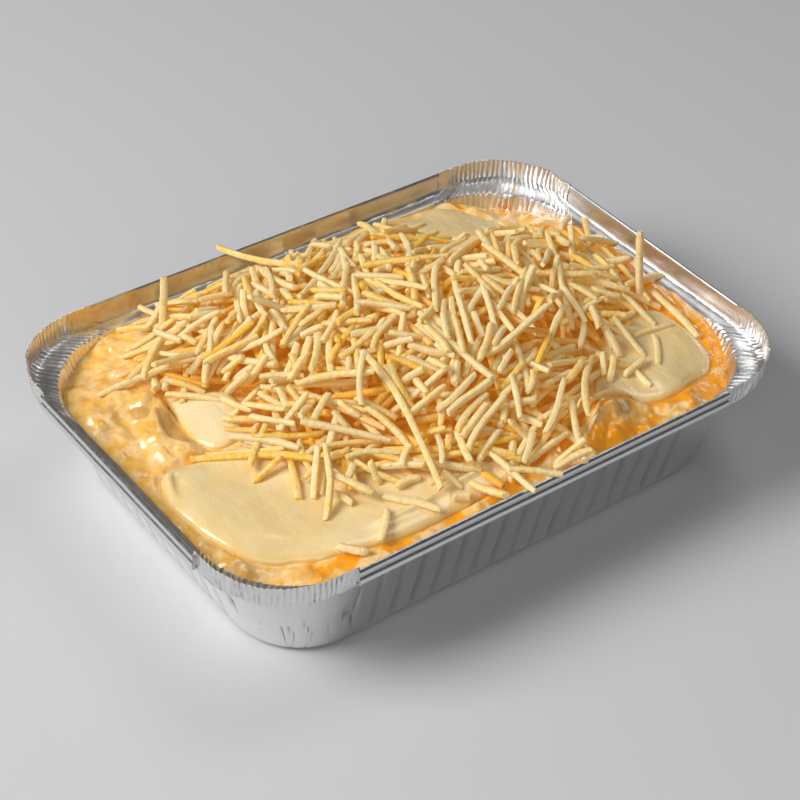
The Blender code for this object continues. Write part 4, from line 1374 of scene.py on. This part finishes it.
class Pile:
    """Heights over the tray on a fine grid, read under each straw as it is laid down."""

    def __init__(self, filling: ChickenFilling, step: float = 0.5) -> None:
        """Start from the food that the straws lie on.

        Args:
            filling: The chicken, for the height of its top.
            step: Width of one cell.
        """
        self.step = step
        self.xs, self.ys = (np.arange(-half, half + 0.01, step) for half in PILE_HALF)
        self.x, self.y = np.meshgrid(self.xs, self.ys)
        food, _, _ = filling.top(self.x, self.y)
        food = np.maximum(food, smooth_level(self.x, self.y) + cheese_lift(self.x, self.y))
        food = np.maximum(food, self.core_height(self.x, self.y))
        ledge = inside_distance(self.x, self.y, LEDGE_LINE - FOIL_IN_CAD) > 0.0
        food = np.where(ledge, np.maximum(food, LEDGE_Z + 0.2), food)
        rim = inside_distance(self.x, self.y, RIM_INSIDE) > 0.0
        self.height = np.where(rim, OVER_RIM, food)

    @staticmethod
    def core_height(x: np.ndarray, y: np.ndarray) -> np.ndarray:
        """Top of the inside of the heap, painted in shade colour: the solid's core lowered, easing down at
        its foot.

        Args:
            x: Places along the tray.
            y: Places across it.

        Returns:
            The height at each place.
        """
        outside, _ = heap_reach(x, y)
        dome = core_top(x, y) - INSIDE_DROP + 1.2 * cloud(x, y, 9.0, 101, 3)
        share = smooth((-INSIDE_INSET - outside) / 6.0)
        return np.where(outside < -INSIDE_INSET, dome * share + (HEAP_LEVEL - 2.0) * (1.0 - share), NOWHERE)

    def cell(self, x: np.ndarray, y: np.ndarray) -> tuple[np.ndarray, np.ndarray]:
        """The grid's nearest cell to each place.

        Args:
            x: Places along the tray.
            y: Places across it.

        Returns:
            Rows and columns.
        """
        row = np.clip(np.rint((y + PILE_HALF[1]) / self.step).astype(int), 0, len(self.ys) - 1)
        column = np.clip(np.rint((x + PILE_HALF[0]) / self.step).astype(int), 0, len(self.xs) - 1)
        return row, column

    def rest(self, start: np.ndarray, end: np.ndarray, width: float,
             sink: float) -> tuple[float, float, float]:
        """Heights of a straw's two ends when it lies on what is there.

        The straw is the lowest straight line on or above the heights along it whose two supports are on
        either side of its middle.

        Args:
            start: One end on the plan.
            end: The other end.
            width: The straw's thickness.
            sink: How far it settles between its supports.

        Returns:
            Height of its underside at the start and at the end, and the mean gap under it.
        """
        length = math.hypot(*(end - start))
        along = np.linspace(-0.5, 0.5, max(int(length / self.step), 8) + 1)
        side = np.array([-(end - start)[1], (end - start)[0]]) / length * width * 0.3
        middle = (start + end) / 2
        level = np.full(len(along), NOWHERE)
        for across in (-1.0, 0.0, 1.0):
            x = middle[0] + along * (end - start)[0] + side[0] * across
            y = middle[1] + along * (end - start)[1] + side[1] * across
            level = np.maximum(level, self.height[self.cell(x, y)])
        level = level - sink
        left, right = np.nonzero(along < -0.04)[0], np.nonzero(along > 0.04)[0]
        a, b = along[left][:, None], along[right][None, :]
        crossing = (level[left][:, None] * b - level[right][None, :] * a) / (b - a)
        i, j = np.unravel_index(np.argmax(crossing), crossing.shape)
        i, j = left[i], right[j]
        slope = (level[j] - level[i]) / (along[j] - along[i])
        low = level[i] - slope * along[i]
        gap = float(np.mean(np.abs(low + slope * along - level)))
        return low - slope / 2, low + slope / 2, gap

    def level_at(self, place: np.ndarray) -> float:
        """Height of the pile at a place on the plan."""
        return float(self.height[self.cell(*place)])

    def lay(self, start: np.ndarray, end: np.ndarray, width: float) -> None:
        """Raise the heights under a straw to its top, in a window round it.

        Args:
            start: Place of its underside at one end.
            end: Place of its underside at the other end.
            width: Its thickness.
        """
        lo, hi = np.minimum(start, end)[:2] - 3.0, np.maximum(start, end)[:2] + 3.0
        c0, c1 = np.searchsorted(self.xs, (lo[0], hi[0]))
        r0, r1 = np.searchsorted(self.ys, (lo[1], hi[1]))
        x, y = self.x[r0:r1, c0:c1], self.y[r0:r1, c0:c1]
        ex, ey = (end - start)[:2]
        share = np.clip(((x - start[0]) * ex + (y - start[1]) * ey) / max(ex * ex + ey * ey, 1e-6), 0.0, 1.0)
        away = np.hypot(x - start[0] - share * ex, y - start[1] - share * ey)
        top = start[2] + (end[2] - start[2]) * share + width
        window = self.height[r0:r1, c0:c1]
        self.height[r0:r1, c0:c1] = np.where(away < width / 2, np.maximum(window, top), window)


@dataclass
class Straw:
    """One potato straw: the places of its ends at its underside, its width, bends and tone."""

    start: np.ndarray
    end: np.ndarray
    width: float
    bend: float = 0.0
    arch: float = 0.0
    tone: float = 0.5
    # How deep it lies in the heap, which the finish paints as shade.
    depth: float = 0.0


@dataclass
class StrawMaker:
    """Turns straws into one mesh of sticks with a square section and narrow chamfers."""

    rings: int = 7
    sides: int = 8
    chamfer: float = 0.2
    taper: tuple = (0.62, 0.98)
    flat: tuple = (0.82, 1.0)
    sharp: float = 52.0
    half_diagonal: float = 0.57

    def mesh(self, straws: list[Straw], seed: int) -> tuple[np.ndarray, list, dict[str, np.ndarray]]:
        """Sticks along gently bent lines, all worked out together.

        Each section is a square with chamfered corners, twisted a little and uneven in width. The centre line
        is a parabola sideways and upwards, with a slight wave and a knee.

        Args:
            straws: The straws.
            seed: For their unevenness.

        Returns:
            Vertices, face arrays and the numbers to store.
        """
        draw = np.random.default_rng(seed)
        count = len(straws)
        start = np.array([s.start for s in straws], float)
        end = np.array([s.end for s in straws], float)
        width = np.array([s.width for s in straws])
        bend = np.array([s.bend for s in straws])
        arch = np.array([s.arch for s in straws])
        reach = end - start
        length = np.linalg.norm(reach, axis=1)
        along = reach / length[:, None]
        side = np.cross((0.0, 0.0, 1.0), along)
        side /= np.maximum(np.linalg.norm(side, axis=1), 1e-6)[:, None]
        up = np.cross(along, side)
        t = np.linspace(0.0, 1.0, self.rings)
        t = t - 0.25 * np.sin(2 * math.pi * t) / (2 * math.pi)
        curve = 4.0 * t * (1.0 - t)
        wave = np.sin(2 * math.pi * t)[None, :] * draw.uniform(-0.012, 0.012, (count, 1))
        knee = draw.uniform(0.3, 0.7, (count, 1))
        wave = wave + draw.normal(0.0, 0.02, (count, 1)) * np.minimum(t / knee, (1.0 - t) / (1.0 - knee))
        centre = start[:, None] + reach[:, None] * t[None, :, None]
        centre = centre + up[:, None] * (width / 2)[:, None, None]
        centre = centre + side[:, None] * ((bend[:, None] * curve + wave) * length[:, None])[..., None]
        centre = centre + up[:, None] * (arch[:, None] * curve * length[:, None])[..., None]
        uneven = 1.0 + draw.uniform(-0.09, 0.09, (count, self.rings))
        uneven[:, 0] *= draw.uniform(*self.taper, count)
        uneven[:, -1] *= draw.uniform(*self.taper, count)
        flat = draw.uniform(*self.flat, count)
        corner = (np.arange(self.sides) // 2) * math.pi / 2 + math.pi / 4
        lean = np.where(np.arange(self.sides) % 2 == 0, -self.chamfer, self.chamfer)
        angle = corner + lean
        size = width[:, None] * self.half_diagonal * uneven
        roll = draw.uniform(-0.5, 0.5, count)[:, None, None]
        roll = roll + draw.uniform(-0.3, 0.3, count)[:, None, None] * t[:, None]
        cos, sin = np.cos(angle + roll), np.sin(angle + roll)
        across = cos * size[..., None]
        lift = sin * (size * flat[:, None])[..., None]
        points = centre[:, :, None] + side[:, None, None] * across[..., None]
        points = points + up[:, None, None] * lift[..., None]
        skew = draw.uniform(-0.5, 0.5, (count, 2))
        points[:, 0] += along[:, None] * (across[:, 0] * skew[:, :1])[..., None]
        points[:, -1] += along[:, None] * (across[:, -1] * skew[:, 1:])[..., None]
        base = grid_faces(self.rings, self.sides, wrap=True)
        offset = np.arange(count)[:, None, None] * self.rings * self.sides
        quads = (base[None] + offset).reshape(-1, 4)
        caps = np.stack([np.arange(self.sides)[::-1], np.arange(self.sides) + (self.rings - 1) * self.sides])
        caps = (caps[None] + offset).reshape(-1, self.sides)
        spread = np.ones((count, self.rings, self.sides))
        marks = {
            "tone": spread * np.array([s.tone for s in straws])[:, None, None],
            "depth": spread * np.array([s.depth for s in straws])[:, None, None],
            "tip": spread * (np.abs(2.0 * t - 1.0) ** 6)[None, :, None],
        }
        return points.reshape(-1, 3), [quads, caps], marks

    def build(self, name: str, straws: list[Straw], seed: int) -> bpy.types.Object:
        """Make and dress one piece of straws.

        Args:
            name: The piece's name.
            straws: Its straws.
            seed: For their unevenness.

        Returns:
            The piece.
        """
        vertices, faces, marks = self.mesh(straws, seed)
        piece = make_piece(name, vertices, faces, sharp=self.sharp)
        for key, values in marks.items():
            mark(piece, key, values)
        PotatoFinish().dress(piece)
        return piece


# Shreds and flakes that stand out in the photograph: the pixels of their two ends and their width.
CLEAR_SHREDS = (
    (117, 355, 149, 355, 3.0), (115, 374, 142, 368, 2.6), (84, 424, 100, 429, 2.6), (86, 432, 103, 437, 2.8),
    (92, 438, 105, 443, 2.4), (629, 397, 588, 420, 2.4),
)


@dataclass
class ChickenShreds:
    """Shreds of chicken, alone and side by side, half sunk in the cream where it shows."""

    places: int = 64
    most: int = 3
    spacing: float = 1.7
    half_lengths: tuple = (3.0, 8.0)
    widths: tuple = (1.0, 1.8)
    sunk: float = 0.78
    edge: float = 3.0
    paler: float = 0.6

    def bundle(self, middle: np.ndarray, draw: np.random.Generator) -> list[tuple]:
        """A few shreds that lie almost side by side.

        Args:
            middle: Middle of the first one on the plan.
            draw: Where the random draws come from.

        Returns:
            The two ends and the width of each.
        """
        heading = draw.uniform(0.0, math.pi)
        shreds = []
        for number in range(draw.integers(1, self.most + 1)):
            turn = heading + draw.normal(0.0, 0.16)
            along = np.array([math.cos(turn), math.sin(turn)])
            across = np.array([-math.sin(heading), math.cos(heading)])
            place = middle + across * (number * self.spacing + draw.uniform(-0.3, 0.3))
            place = place + along * draw.uniform(-2.0, 2.0)
            half = along * draw.uniform(*self.half_lengths)
            shreds.append((place - half, place + half, float(draw.uniform(*self.widths))))
        return shreds

    def build(self, view: View, pile: Pile) -> bpy.types.Object:
        """Lay the shreds on the pile and make them one piece.

        Args:
            view: The camera, for the places of the clear ones.
            pile: The heights that they lie on.

        Returns:
            The piece.
        """
        draw = np.random.default_rng(SEED + 50)
        wanted = [(view.seen_at(shred[0:2], LEDGE_Z)[:2], view.seen_at(shred[2:4], LEDGE_Z)[:2], shred[4])
                  for shred in CLEAR_SHREDS]
        line = wall_line(34.0) - self.edge
        for middle in draw.uniform((-100.0, -68.0), (100.0, 68.0), (self.places, 2)):
            outside, _ = heap_reach(*middle)
            slices = min(outline_distance(*np.array(middle)[:, None], closed_curve(o, 60))[0]
                         for o in CHEESE_OUTLINES.values())
            if outside > -4.0 and slices > 1.0:
                wanted += self.bundle(middle, draw)
        shreds = []
        for start, end, width in wanted:
            if max(inside_distance(*start, line), inside_distance(*end, line)) > 0.0:
                continue
            low, high, _ = pile.rest(start, end, width, 0.0)
            drop = self.sunk * width
            straw = Straw(np.array([*start, low - drop]), np.array([*end, high - drop]), width,
                          float(draw.normal(0.0, 0.08)), float(draw.uniform(0.0, 0.08)))
            pile.lay(straw.start, straw.end, width * 0.7)
            shreds.append(straw)
        maker = StrawMaker(chamfer=0.3, taper=(0.25, 0.55), flat=(0.55, 0.85))
        vertices, faces, marks = maker.mesh(shreds, SEED + 51)
        piece = make_piece("shreds_of_chicken", vertices, faces, sharp=85.0)
        mark(piece, "hollow", 0.15 * marks["tip"])
        mark(piece, "bare", 0.0 * marks["tip"])
        CreamFinish().dress(piece, self.paler)
        return piece


# Straws that stand out in the photograph: the pixels of their two ends, the topmost ones last.
CLEAR_STRAWS = (
    (157, 303, 199, 300), (199, 300, 252, 288), (168, 313, 199, 317), (161, 305, 145, 326),
    (189, 330, 224, 304), (161, 338, 143, 377), (224, 322, 205, 382), (205, 352, 190, 374),
    (252, 317, 235, 342), (256, 289, 264, 317), (247, 301, 287, 312), (272, 313, 287, 333),
    (265, 335, 277, 365), (321, 312, 282, 343), (298, 342, 286, 373), (300, 255, 301, 281),
    (264, 299, 307, 285), (230, 358, 277, 364), (246, 380, 269, 370), (236, 378, 255, 366),
    (224, 370, 245, 364), (274, 364, 274, 387), (316, 332, 312, 372), (310, 336, 303, 368),
    (166, 396, 224, 388), (229, 383, 251, 389), (250, 271, 232, 290), (226, 272, 226, 294),
    (155, 329, 181, 341), (182, 335, 196, 343), (163, 359, 175, 368), (346, 282, 361, 299),
    (360, 299, 369, 320), (371, 299, 428, 312), (370, 306, 402, 316), (407, 290, 435, 307),
    (443, 269, 454, 278), (458, 280, 476, 298), (439, 283, 439, 301), (447, 312, 454, 335),
    (302, 339, 323, 324), (323, 324, 372, 321), (300, 327, 322, 311), (302, 304, 323, 299),
    (318, 285, 342, 298), (369, 296, 410, 284), (412, 278, 443, 262), (387, 287, 399, 276),
    (375, 273, 395, 264), (449, 265, 480, 238), (415, 258, 448, 256), (355, 248, 395, 258),
    (313, 242, 352, 249), (389, 226, 396, 256), (385, 217, 383, 226), (360, 217, 378, 230),
    (355, 246, 369, 233), (364, 245, 388, 237), (330, 279, 366, 266), (354, 256, 373, 267),
    (330, 273, 338, 254), (346, 256, 342, 270), (422, 239, 437, 232), (399, 246, 414, 256),
    (386, 327, 387, 340), (375, 337, 385, 318), (352, 332, 356, 374), (407, 324, 431, 346),
    (417, 324, 449, 349), (300, 388, 374, 370), (300, 422, 390, 440), (329, 457, 350, 450),
    (346, 459, 401, 450), (318, 445, 314, 495), (368, 462, 378, 480), (354, 463, 346, 479),
    (331, 481, 373, 488), (419, 472, 396, 489), (381, 466, 425, 465), (441, 471, 461, 487),
    (456, 431, 471, 462), (435, 428, 442, 465), (450, 420, 448, 447), (437, 394, 440, 424),
    (410, 414, 446, 385), (459, 356, 455, 384), (412, 374, 427, 393), (354, 397, 395, 418),
    (364, 405, 410, 446), (410, 446, 402, 465), (331, 415, 369, 425), (329, 394, 314, 418),
    (300, 415, 311, 407), (338, 401, 360, 406), (363, 379, 362, 397), (346, 351, 348, 376),
    (319, 333, 311, 370), (330, 340, 332, 376), (407, 345, 443, 353), (406, 360, 439, 370),
    (430, 356, 447, 372), (449, 413, 479, 387), (463, 435, 479, 413), (497, 301, 536, 334),
    (485, 284, 540, 283), (529, 273, 592, 274), (481, 247, 532, 282), (449, 262, 492, 232),
    (519, 241, 516, 265), (515, 231, 504, 251), (483, 243, 502, 251), (570, 210, 561, 228),
    (570, 225, 573, 260), (553, 227, 566, 247), (561, 251, 575, 271), (584, 215, 590, 237),
    (584, 243, 616, 234), (578, 248, 621, 279), (599, 256, 634, 260), (601, 278, 585, 302),
    (604, 298, 563, 317), (562, 289, 548, 315), (512, 333, 528, 390), (584, 312, 580, 348),
    (597, 317, 619, 353), (612, 316, 644, 353), (589, 315, 597, 336), (601, 301, 625, 317),
    (568, 279, 573, 298), (578, 279, 587, 293), (528, 294, 528, 310), (537, 287, 559, 296),
    (459, 262, 460, 279), (488, 265, 488, 279), (552, 248, 542, 268), (469, 307, 482, 299),
    (491, 301, 513, 331), (523, 338, 551, 322), (547, 358, 574, 342), (435, 343, 454, 357),
    (458, 360, 455, 383), (474, 368, 495, 375), (521, 375, 501, 397), (504, 397, 504, 421),
    (535, 375, 533, 404), (509, 404, 535, 400), (593, 354, 588, 416), (595, 349, 628, 364),
    (633, 367, 651, 384), (645, 357, 625, 374), (584, 355, 548, 368), (571, 371, 542, 386),
    (582, 366, 567, 381), (570, 398, 588, 438), (567, 433, 529, 461), (588, 440, 558, 461),
    (593, 450, 556, 465), (472, 473, 507, 493), (500, 430, 478, 464), (487, 404, 464, 432),
    (519, 409, 542, 426), (506, 426, 526, 433), (533, 433, 524, 462), (602, 357, 604, 372),
    (613, 361, 610, 378), (484, 355, 512, 341), (652, 290, 698, 332), (625, 284, 661, 271),
    (634, 331, 672, 322), (654, 333, 658, 362), (622, 294, 654, 321), (596, 254, 631, 259),
    (208, 338, 154, 394), (341, 239, 303, 295), (453, 276, 471, 349), (404, 313, 394, 368),
    (482, 285, 496, 342), (565, 306, 541, 358), (548, 307, 487, 355), (494, 378, 448, 413),
    (505, 396, 469, 447), (564, 380, 545, 432), (419, 315, 494, 366), (490, 459, 536, 487),
    (510, 467, 563, 473), (325, 443, 326, 517), (362, 351, 441, 487),
)

# How far straws lie on the plan, further than the solid's heap where a single layer of them covers the food.
STRAW_EDGE = (
    (93, 0), (90, 14), (84, 26), (70, 36), (54, 44), (46, 54), (40, 63), (15, 67), (-20, 68),
    (-44, 68), (-57, 60), (-67, 48), (-73, 36), (-69, 28), (-60, 25), (-55, 16), (-56, 4), (-65, -4),
    (-72, -12), (-69, -22), (-60, -33), (-48, -41), (-36, -49), (-24, -56), (-8, -60), (10, -62), (24, -60),
    (34, -52), (42, -42), (52, -34), (64, -28), (78, -24), (88, -14),
)

# Straws that stand on one end: the pixels of the foot and of the tip, and the tip's height.
STANDING_STRAWS = ((164, 330, 165, 276, 59.0), (638, 300, 638, 230, 63.5))

# The long sagging straw that lies over the rim at the back left: the pixels of its two ends.
RIM_STRAW = (218, 250, 322, 267)


@dataclass
class StrawHeap:
    """The heap of potato straws on an inside painted in the deep straws' shade colour, laid one by one on
    what is already there.

    The fields that end in guess are the levels from which a straw's height is worked out.
    """

    pile: Pile
    count: int = 1900
    lengths: tuple = (25.0, 10.0, 46.0)
    grown_over: float = -0.5
    fill_count: int = 600
    fill_lengths: tuple = (18.0, 9.0, 32.0)
    filled_over: float = 3.0
    widths: tuple = (1.85, 2.4)
    clear_widths: tuple = (1.9, 2.4)
    standing_width: float = 2.5
    rim_width: float = 2.3
    tries: int = 9
    renewed_every: int = 20
    steepest: float = 0.62
    sink: float = 1.2
    clearance: float = 2.0
    top_limit: float = 65.2
    skirt: float = 4.4
    rim_level: float = 45.2
    clear_guess: float = 52.0
    foot_guess: float = 42.0
    rim_guess: float = 46.0
    foot: float = HEAP_LEVEL - 4.0
    straws: list[Straw] = field(default_factory=list)

    def target(self, x: np.ndarray, y: np.ndarray, over: float) -> np.ndarray:
        """Height that the heap's top should reach: over the solid's core, easing down past its foot.

        Args:
            x: Places along the tray.
            y: Places across it.
            over: How far it is over the core.

        Returns:
            The height at each place, far below the tray where no straw should lie.
        """
        outside, _ = heap_reach(x, y)
        heap = np.where(outside < 6.0, core_top(x, y) + over - 3.5 * smooth((outside + 8.0) / 14.0), NOWHERE)
        inward = -outline_distance(x, y, closed_curve(STRAW_EDGE, 150))
        skirt = np.where(inward > 0.0, smooth_level(x, y) + self.skirt + 2.5 * smooth(inward / 10.0), NOWHERE)
        return np.maximum(heap, skirt)

    def grow(self, draw: np.random.Generator, count: int, lengths: tuple, over: float) -> None:
        """Lay straws where the heap is furthest below its target, trying a few places and headings for each.

        Args:
            draw: Where the random draws come from.
            count: How many straws are tried.
            lengths: Middle, shortest and longest length.
            over: How far the target is over the solid's core.
        """
        pile = self.pile
        wanted = self.target(pile.x, pile.y, over)
        inner = np.argwhere(wanted > 0.0)
        cells = tuple(inner.T)
        middle_length, shortest, longest = lengths
        drawn = np.clip(draw.gamma(9.0, middle_length / 9.0, count), shortest, longest)
        for turn, length in enumerate(drawn):
            if turn % self.renewed_every == 0:
                lack = np.maximum(wanted[cells] - pile.height[cells], 0.0)
                odds = lack ** 1.5 / max((lack ** 1.5).sum(), 1e-9)
            width = draw.uniform(*self.widths)
            choices = []
            for row, column in inner[draw.choice(len(inner), self.tries, p=odds)]:
                middle = np.array([pile.xs[column], pile.ys[row]])
                heading = draw.uniform(0.0, math.pi)
                half = np.array([math.cos(heading), math.sin(heading)]) * length / 2
                start, end = middle - half, middle + half
                if max(inside_distance(*place, RIM_INSIDE) for place in (start, end)) > -self.clearance:
                    continue
                low, high, gap = pile.rest(start, end, width, self.sink)
                if max(low, high) + width > self.top_limit or abs(high - low) > self.steepest * length:
                    continue
                above = (low + high) / 2 + width - wanted[row, column]
                choices.append((above + 0.5 * gap, len(choices), start, end, low, high, above))
            if choices and min(choices)[-1] < 1.0:
                _, _, start, end, low, high, _ = min(choices)
                self.add(np.array([*start, low]), np.array([*end, high]), width, draw)

    def add(self, start: np.ndarray, end: np.ndarray, width: float, draw: np.random.Generator) -> None:
        """Add a straw with a drawn bend, arch and tone, and raise the pile.

        Args:
            start: Place of its underside at one end.
            end: Place of its underside at the other end.
            width: Its thickness.
            draw: Where the random draws come from.
        """
        self.pile.lay(start, end, width)
        bend = float(draw.normal(0.0, 0.03))
        self.straws.append(Straw(start, end, width, bend, float(draw.uniform(-0.005, 0.02)),
                                 float(draw.beta(1.6, 2.6))))

    def lay_clear_straws(self, view: View, draw: np.random.Generator) -> None:
        """Lay the straws that stand out, each where the camera sees its two pixels, on what is there.

        The place depends on the height and the height on the place, so both are found in a few turns.

        Args:
            view: The camera.
            draw: Where the random draws come from.
        """
        for first_x, first_y, second_x, second_y in CLEAR_STRAWS:
            low = high = self.clear_guess
            width = float(draw.uniform(*self.clear_widths))
            for _ in range(5):
                start = view.seen_at((first_x, first_y), low + width / 2)[:2]
                end = view.seen_at((second_x, second_y), high + width / 2)[:2]
                new_low, new_high, _ = self.pile.rest(start, end, width, 1.0)
                low, high = (low + new_low) / 2, (high + new_high) / 2
            low, high = min(new_low, self.top_limit - width), min(new_high, self.top_limit - width)
            self.add(np.array([*start, low]), np.array([*end, high]), width, draw)
            self.straws[-1].tone = float(draw.uniform(0.0, 0.5))

    def stand_straws(self, view: View, draw: np.random.Generator) -> None:
        """Add the straws that stand on one end, the foot sunk a little, and the one that lies over the rim.

        Args:
            view: The camera.
            draw: Where the random draws come from.
        """
        for foot_x, foot_y, tip_x, tip_y, tip_z in STANDING_STRAWS:
            level = self.foot_guess
            for _ in range(8):
                foot = view.seen_at((foot_x, foot_y), level)
                level = (level + self.pile.level_at(foot[:2]) - 0.5) / 2
            tip = view.seen_at((tip_x, tip_y), tip_z)
            tone = float(draw.uniform(0.1, 0.4))
            self.straws.append(Straw(foot, tip, self.standing_width, 0.01, 0.0, tone))
        start = view.seen_at(RIM_STRAW[0:2], self.rim_level)
        level = self.rim_guess
        for _ in range(8):
            end = view.seen_at(RIM_STRAW[2:4], level)
            level = (level + self.pile.level_at(end[:2])) / 2
        self.straws.append(Straw(start, end, self.rim_width, -0.09, 0.0, 0.5))

    def set_depths(self) -> None:
        """Give each straw how far its middle is below the heap's finished top, from 0 to 1, for the finish's
        painted shade.
        """
        for straw in self.straws:
            middle = (straw.start + straw.end) / 2
            over = self.pile.level_at(middle[:2]) - middle[2] - straw.width
            straw.depth = float(np.clip(over / 9.0, 0.0, 1.0))

    def build(self, view: View) -> None:
        """Lay all straws, then make the straws and the inside of the heap.

        Args:
            view: The camera, for the places of the straws that stand out.
        """
        draw = np.random.default_rng(SEED)
        self.grow(draw, self.count, self.lengths, self.grown_over)
        self.lay_clear_straws(view, draw)
        self.grow(draw, self.fill_count, self.fill_lengths, self.filled_over)
        self.stand_straws(view, draw)
        self.set_depths()
        LOG.info("heap: %d straws, top %.1f mm", len(self.straws), self.pile.height.max())
        piece = StrawMaker().build("straws_of_heap", self.straws, SEED + 1)
        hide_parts("potato_straws")
        self.build_core()

    def build_core(self) -> bpy.types.Object:
        """Make the inside of the heap, a lumpy dome that shows only in the gaps between straws, in painted
        shade colour.

        Returns:
            The inside.
        """
        share = np.linspace(1.0, 0.0, 41)[:-1]
        edge = closed_curve(HEAP_FOOT, 160)
        places = HEAP_CENTRE + (edge - HEAP_CENTRE)[None] * share[:, None, None] * 0.985
        x, y = places[..., 0], places[..., 1]
        dome = np.maximum(self.pile.core_height(x, y), HEAP_LEVEL - 2.5)
        upper = np.stack([x, y, dome], -1)
        foot = np.stack([x[:1], y[:1], np.full_like(x[:1], self.foot)], -1)
        skin = np.concatenate([foot, upper]).reshape(-1, 3)
        count = edge.shape[0]
        vertices = np.vstack([skin, [*HEAP_CENTRE, self.foot], [*HEAP_CENTRE, dome[-1].mean()]])
        first, last = np.arange(count), np.arange(count) + len(share) * count
        faces = [grid_faces(len(share) + 1, count, wrap=True), fan_faces(first, len(skin))[:, ::-1],
                 fan_faces(last, len(skin) + 1)]
        core = make_piece("inside_of_heap", vertices, faces, sharp=80.0)
        # Full depth gives the inside the painted shade colour of the deepest straws.
        for key, value in (("tone", 0.7), ("depth", 1.0), ("tip", 0.0)):
            mark(core, key, np.full(len(vertices), value))
        PotatoFinish().dress(core)
        return core


# Straws that lie apart: the two ends on the plan and the thickness, as the solids have them.
LOOSE_STRAWS = (
    ((-45.0, -50.5), (-34.5, -64.5), 2.5),
    ((-47.5, -56.0), (-57.0, -65.0), 2.4),
    ((-62.0, -66.2), (-68.5, -59.5), 2.6),
    ((-57.0, -40.0), (-54.5, -47.5), 2.5),
    ((-28.0, -62.5), (-23.5, -65.0), 3.0),
)


@dataclass
class StrawsApart:
    """The straws that lie apart, resting on the front slice and the filling."""

    sink: float = 0.25
    bend: float = 0.02
    tone: float = 0.25
    rings: int = 9

    def build(self, pile: Pile) -> None:
        """Make each straw a piece of its own.

        Args:
            pile: The heights that they rest on.
        """
        for number, (first, second, width) in enumerate(LOOSE_STRAWS, 1):
            start, end = np.array(first), np.array(second)
            low, high, _ = pile.rest(start, end, width, self.sink)
            straw = Straw(np.array([*start, low]), np.array([*end, high]), width, self.bend, 0.0, self.tone)
            pile.lay(straw.start, straw.end, width)
            piece = StrawMaker(self.rings).build(f"straw_apart_{number}", [straw], SEED + 10 + number)
            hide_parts(f"loose_straw_{number}")


def main() -> None:
    """Build the studio and every piece of the tray, logging each piece's size."""
    logging.basicConfig(level=logging.INFO, format="%(name)s: %(message)s")
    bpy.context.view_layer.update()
    view = View()
    view.build()
    Studio().build()
    FoilTray().build()
    filling = ChickenFilling()
    filling.build()
    for node in CHEESE_OUTLINES:
        CheeseSlice(node).build()
    pile = Pile(filling)
    ChickenShreds().build(view, pile)
    StrawHeap(pile).build(view)
    StrawsApart().build(pile)


if __name__ == "__main__":
    main()
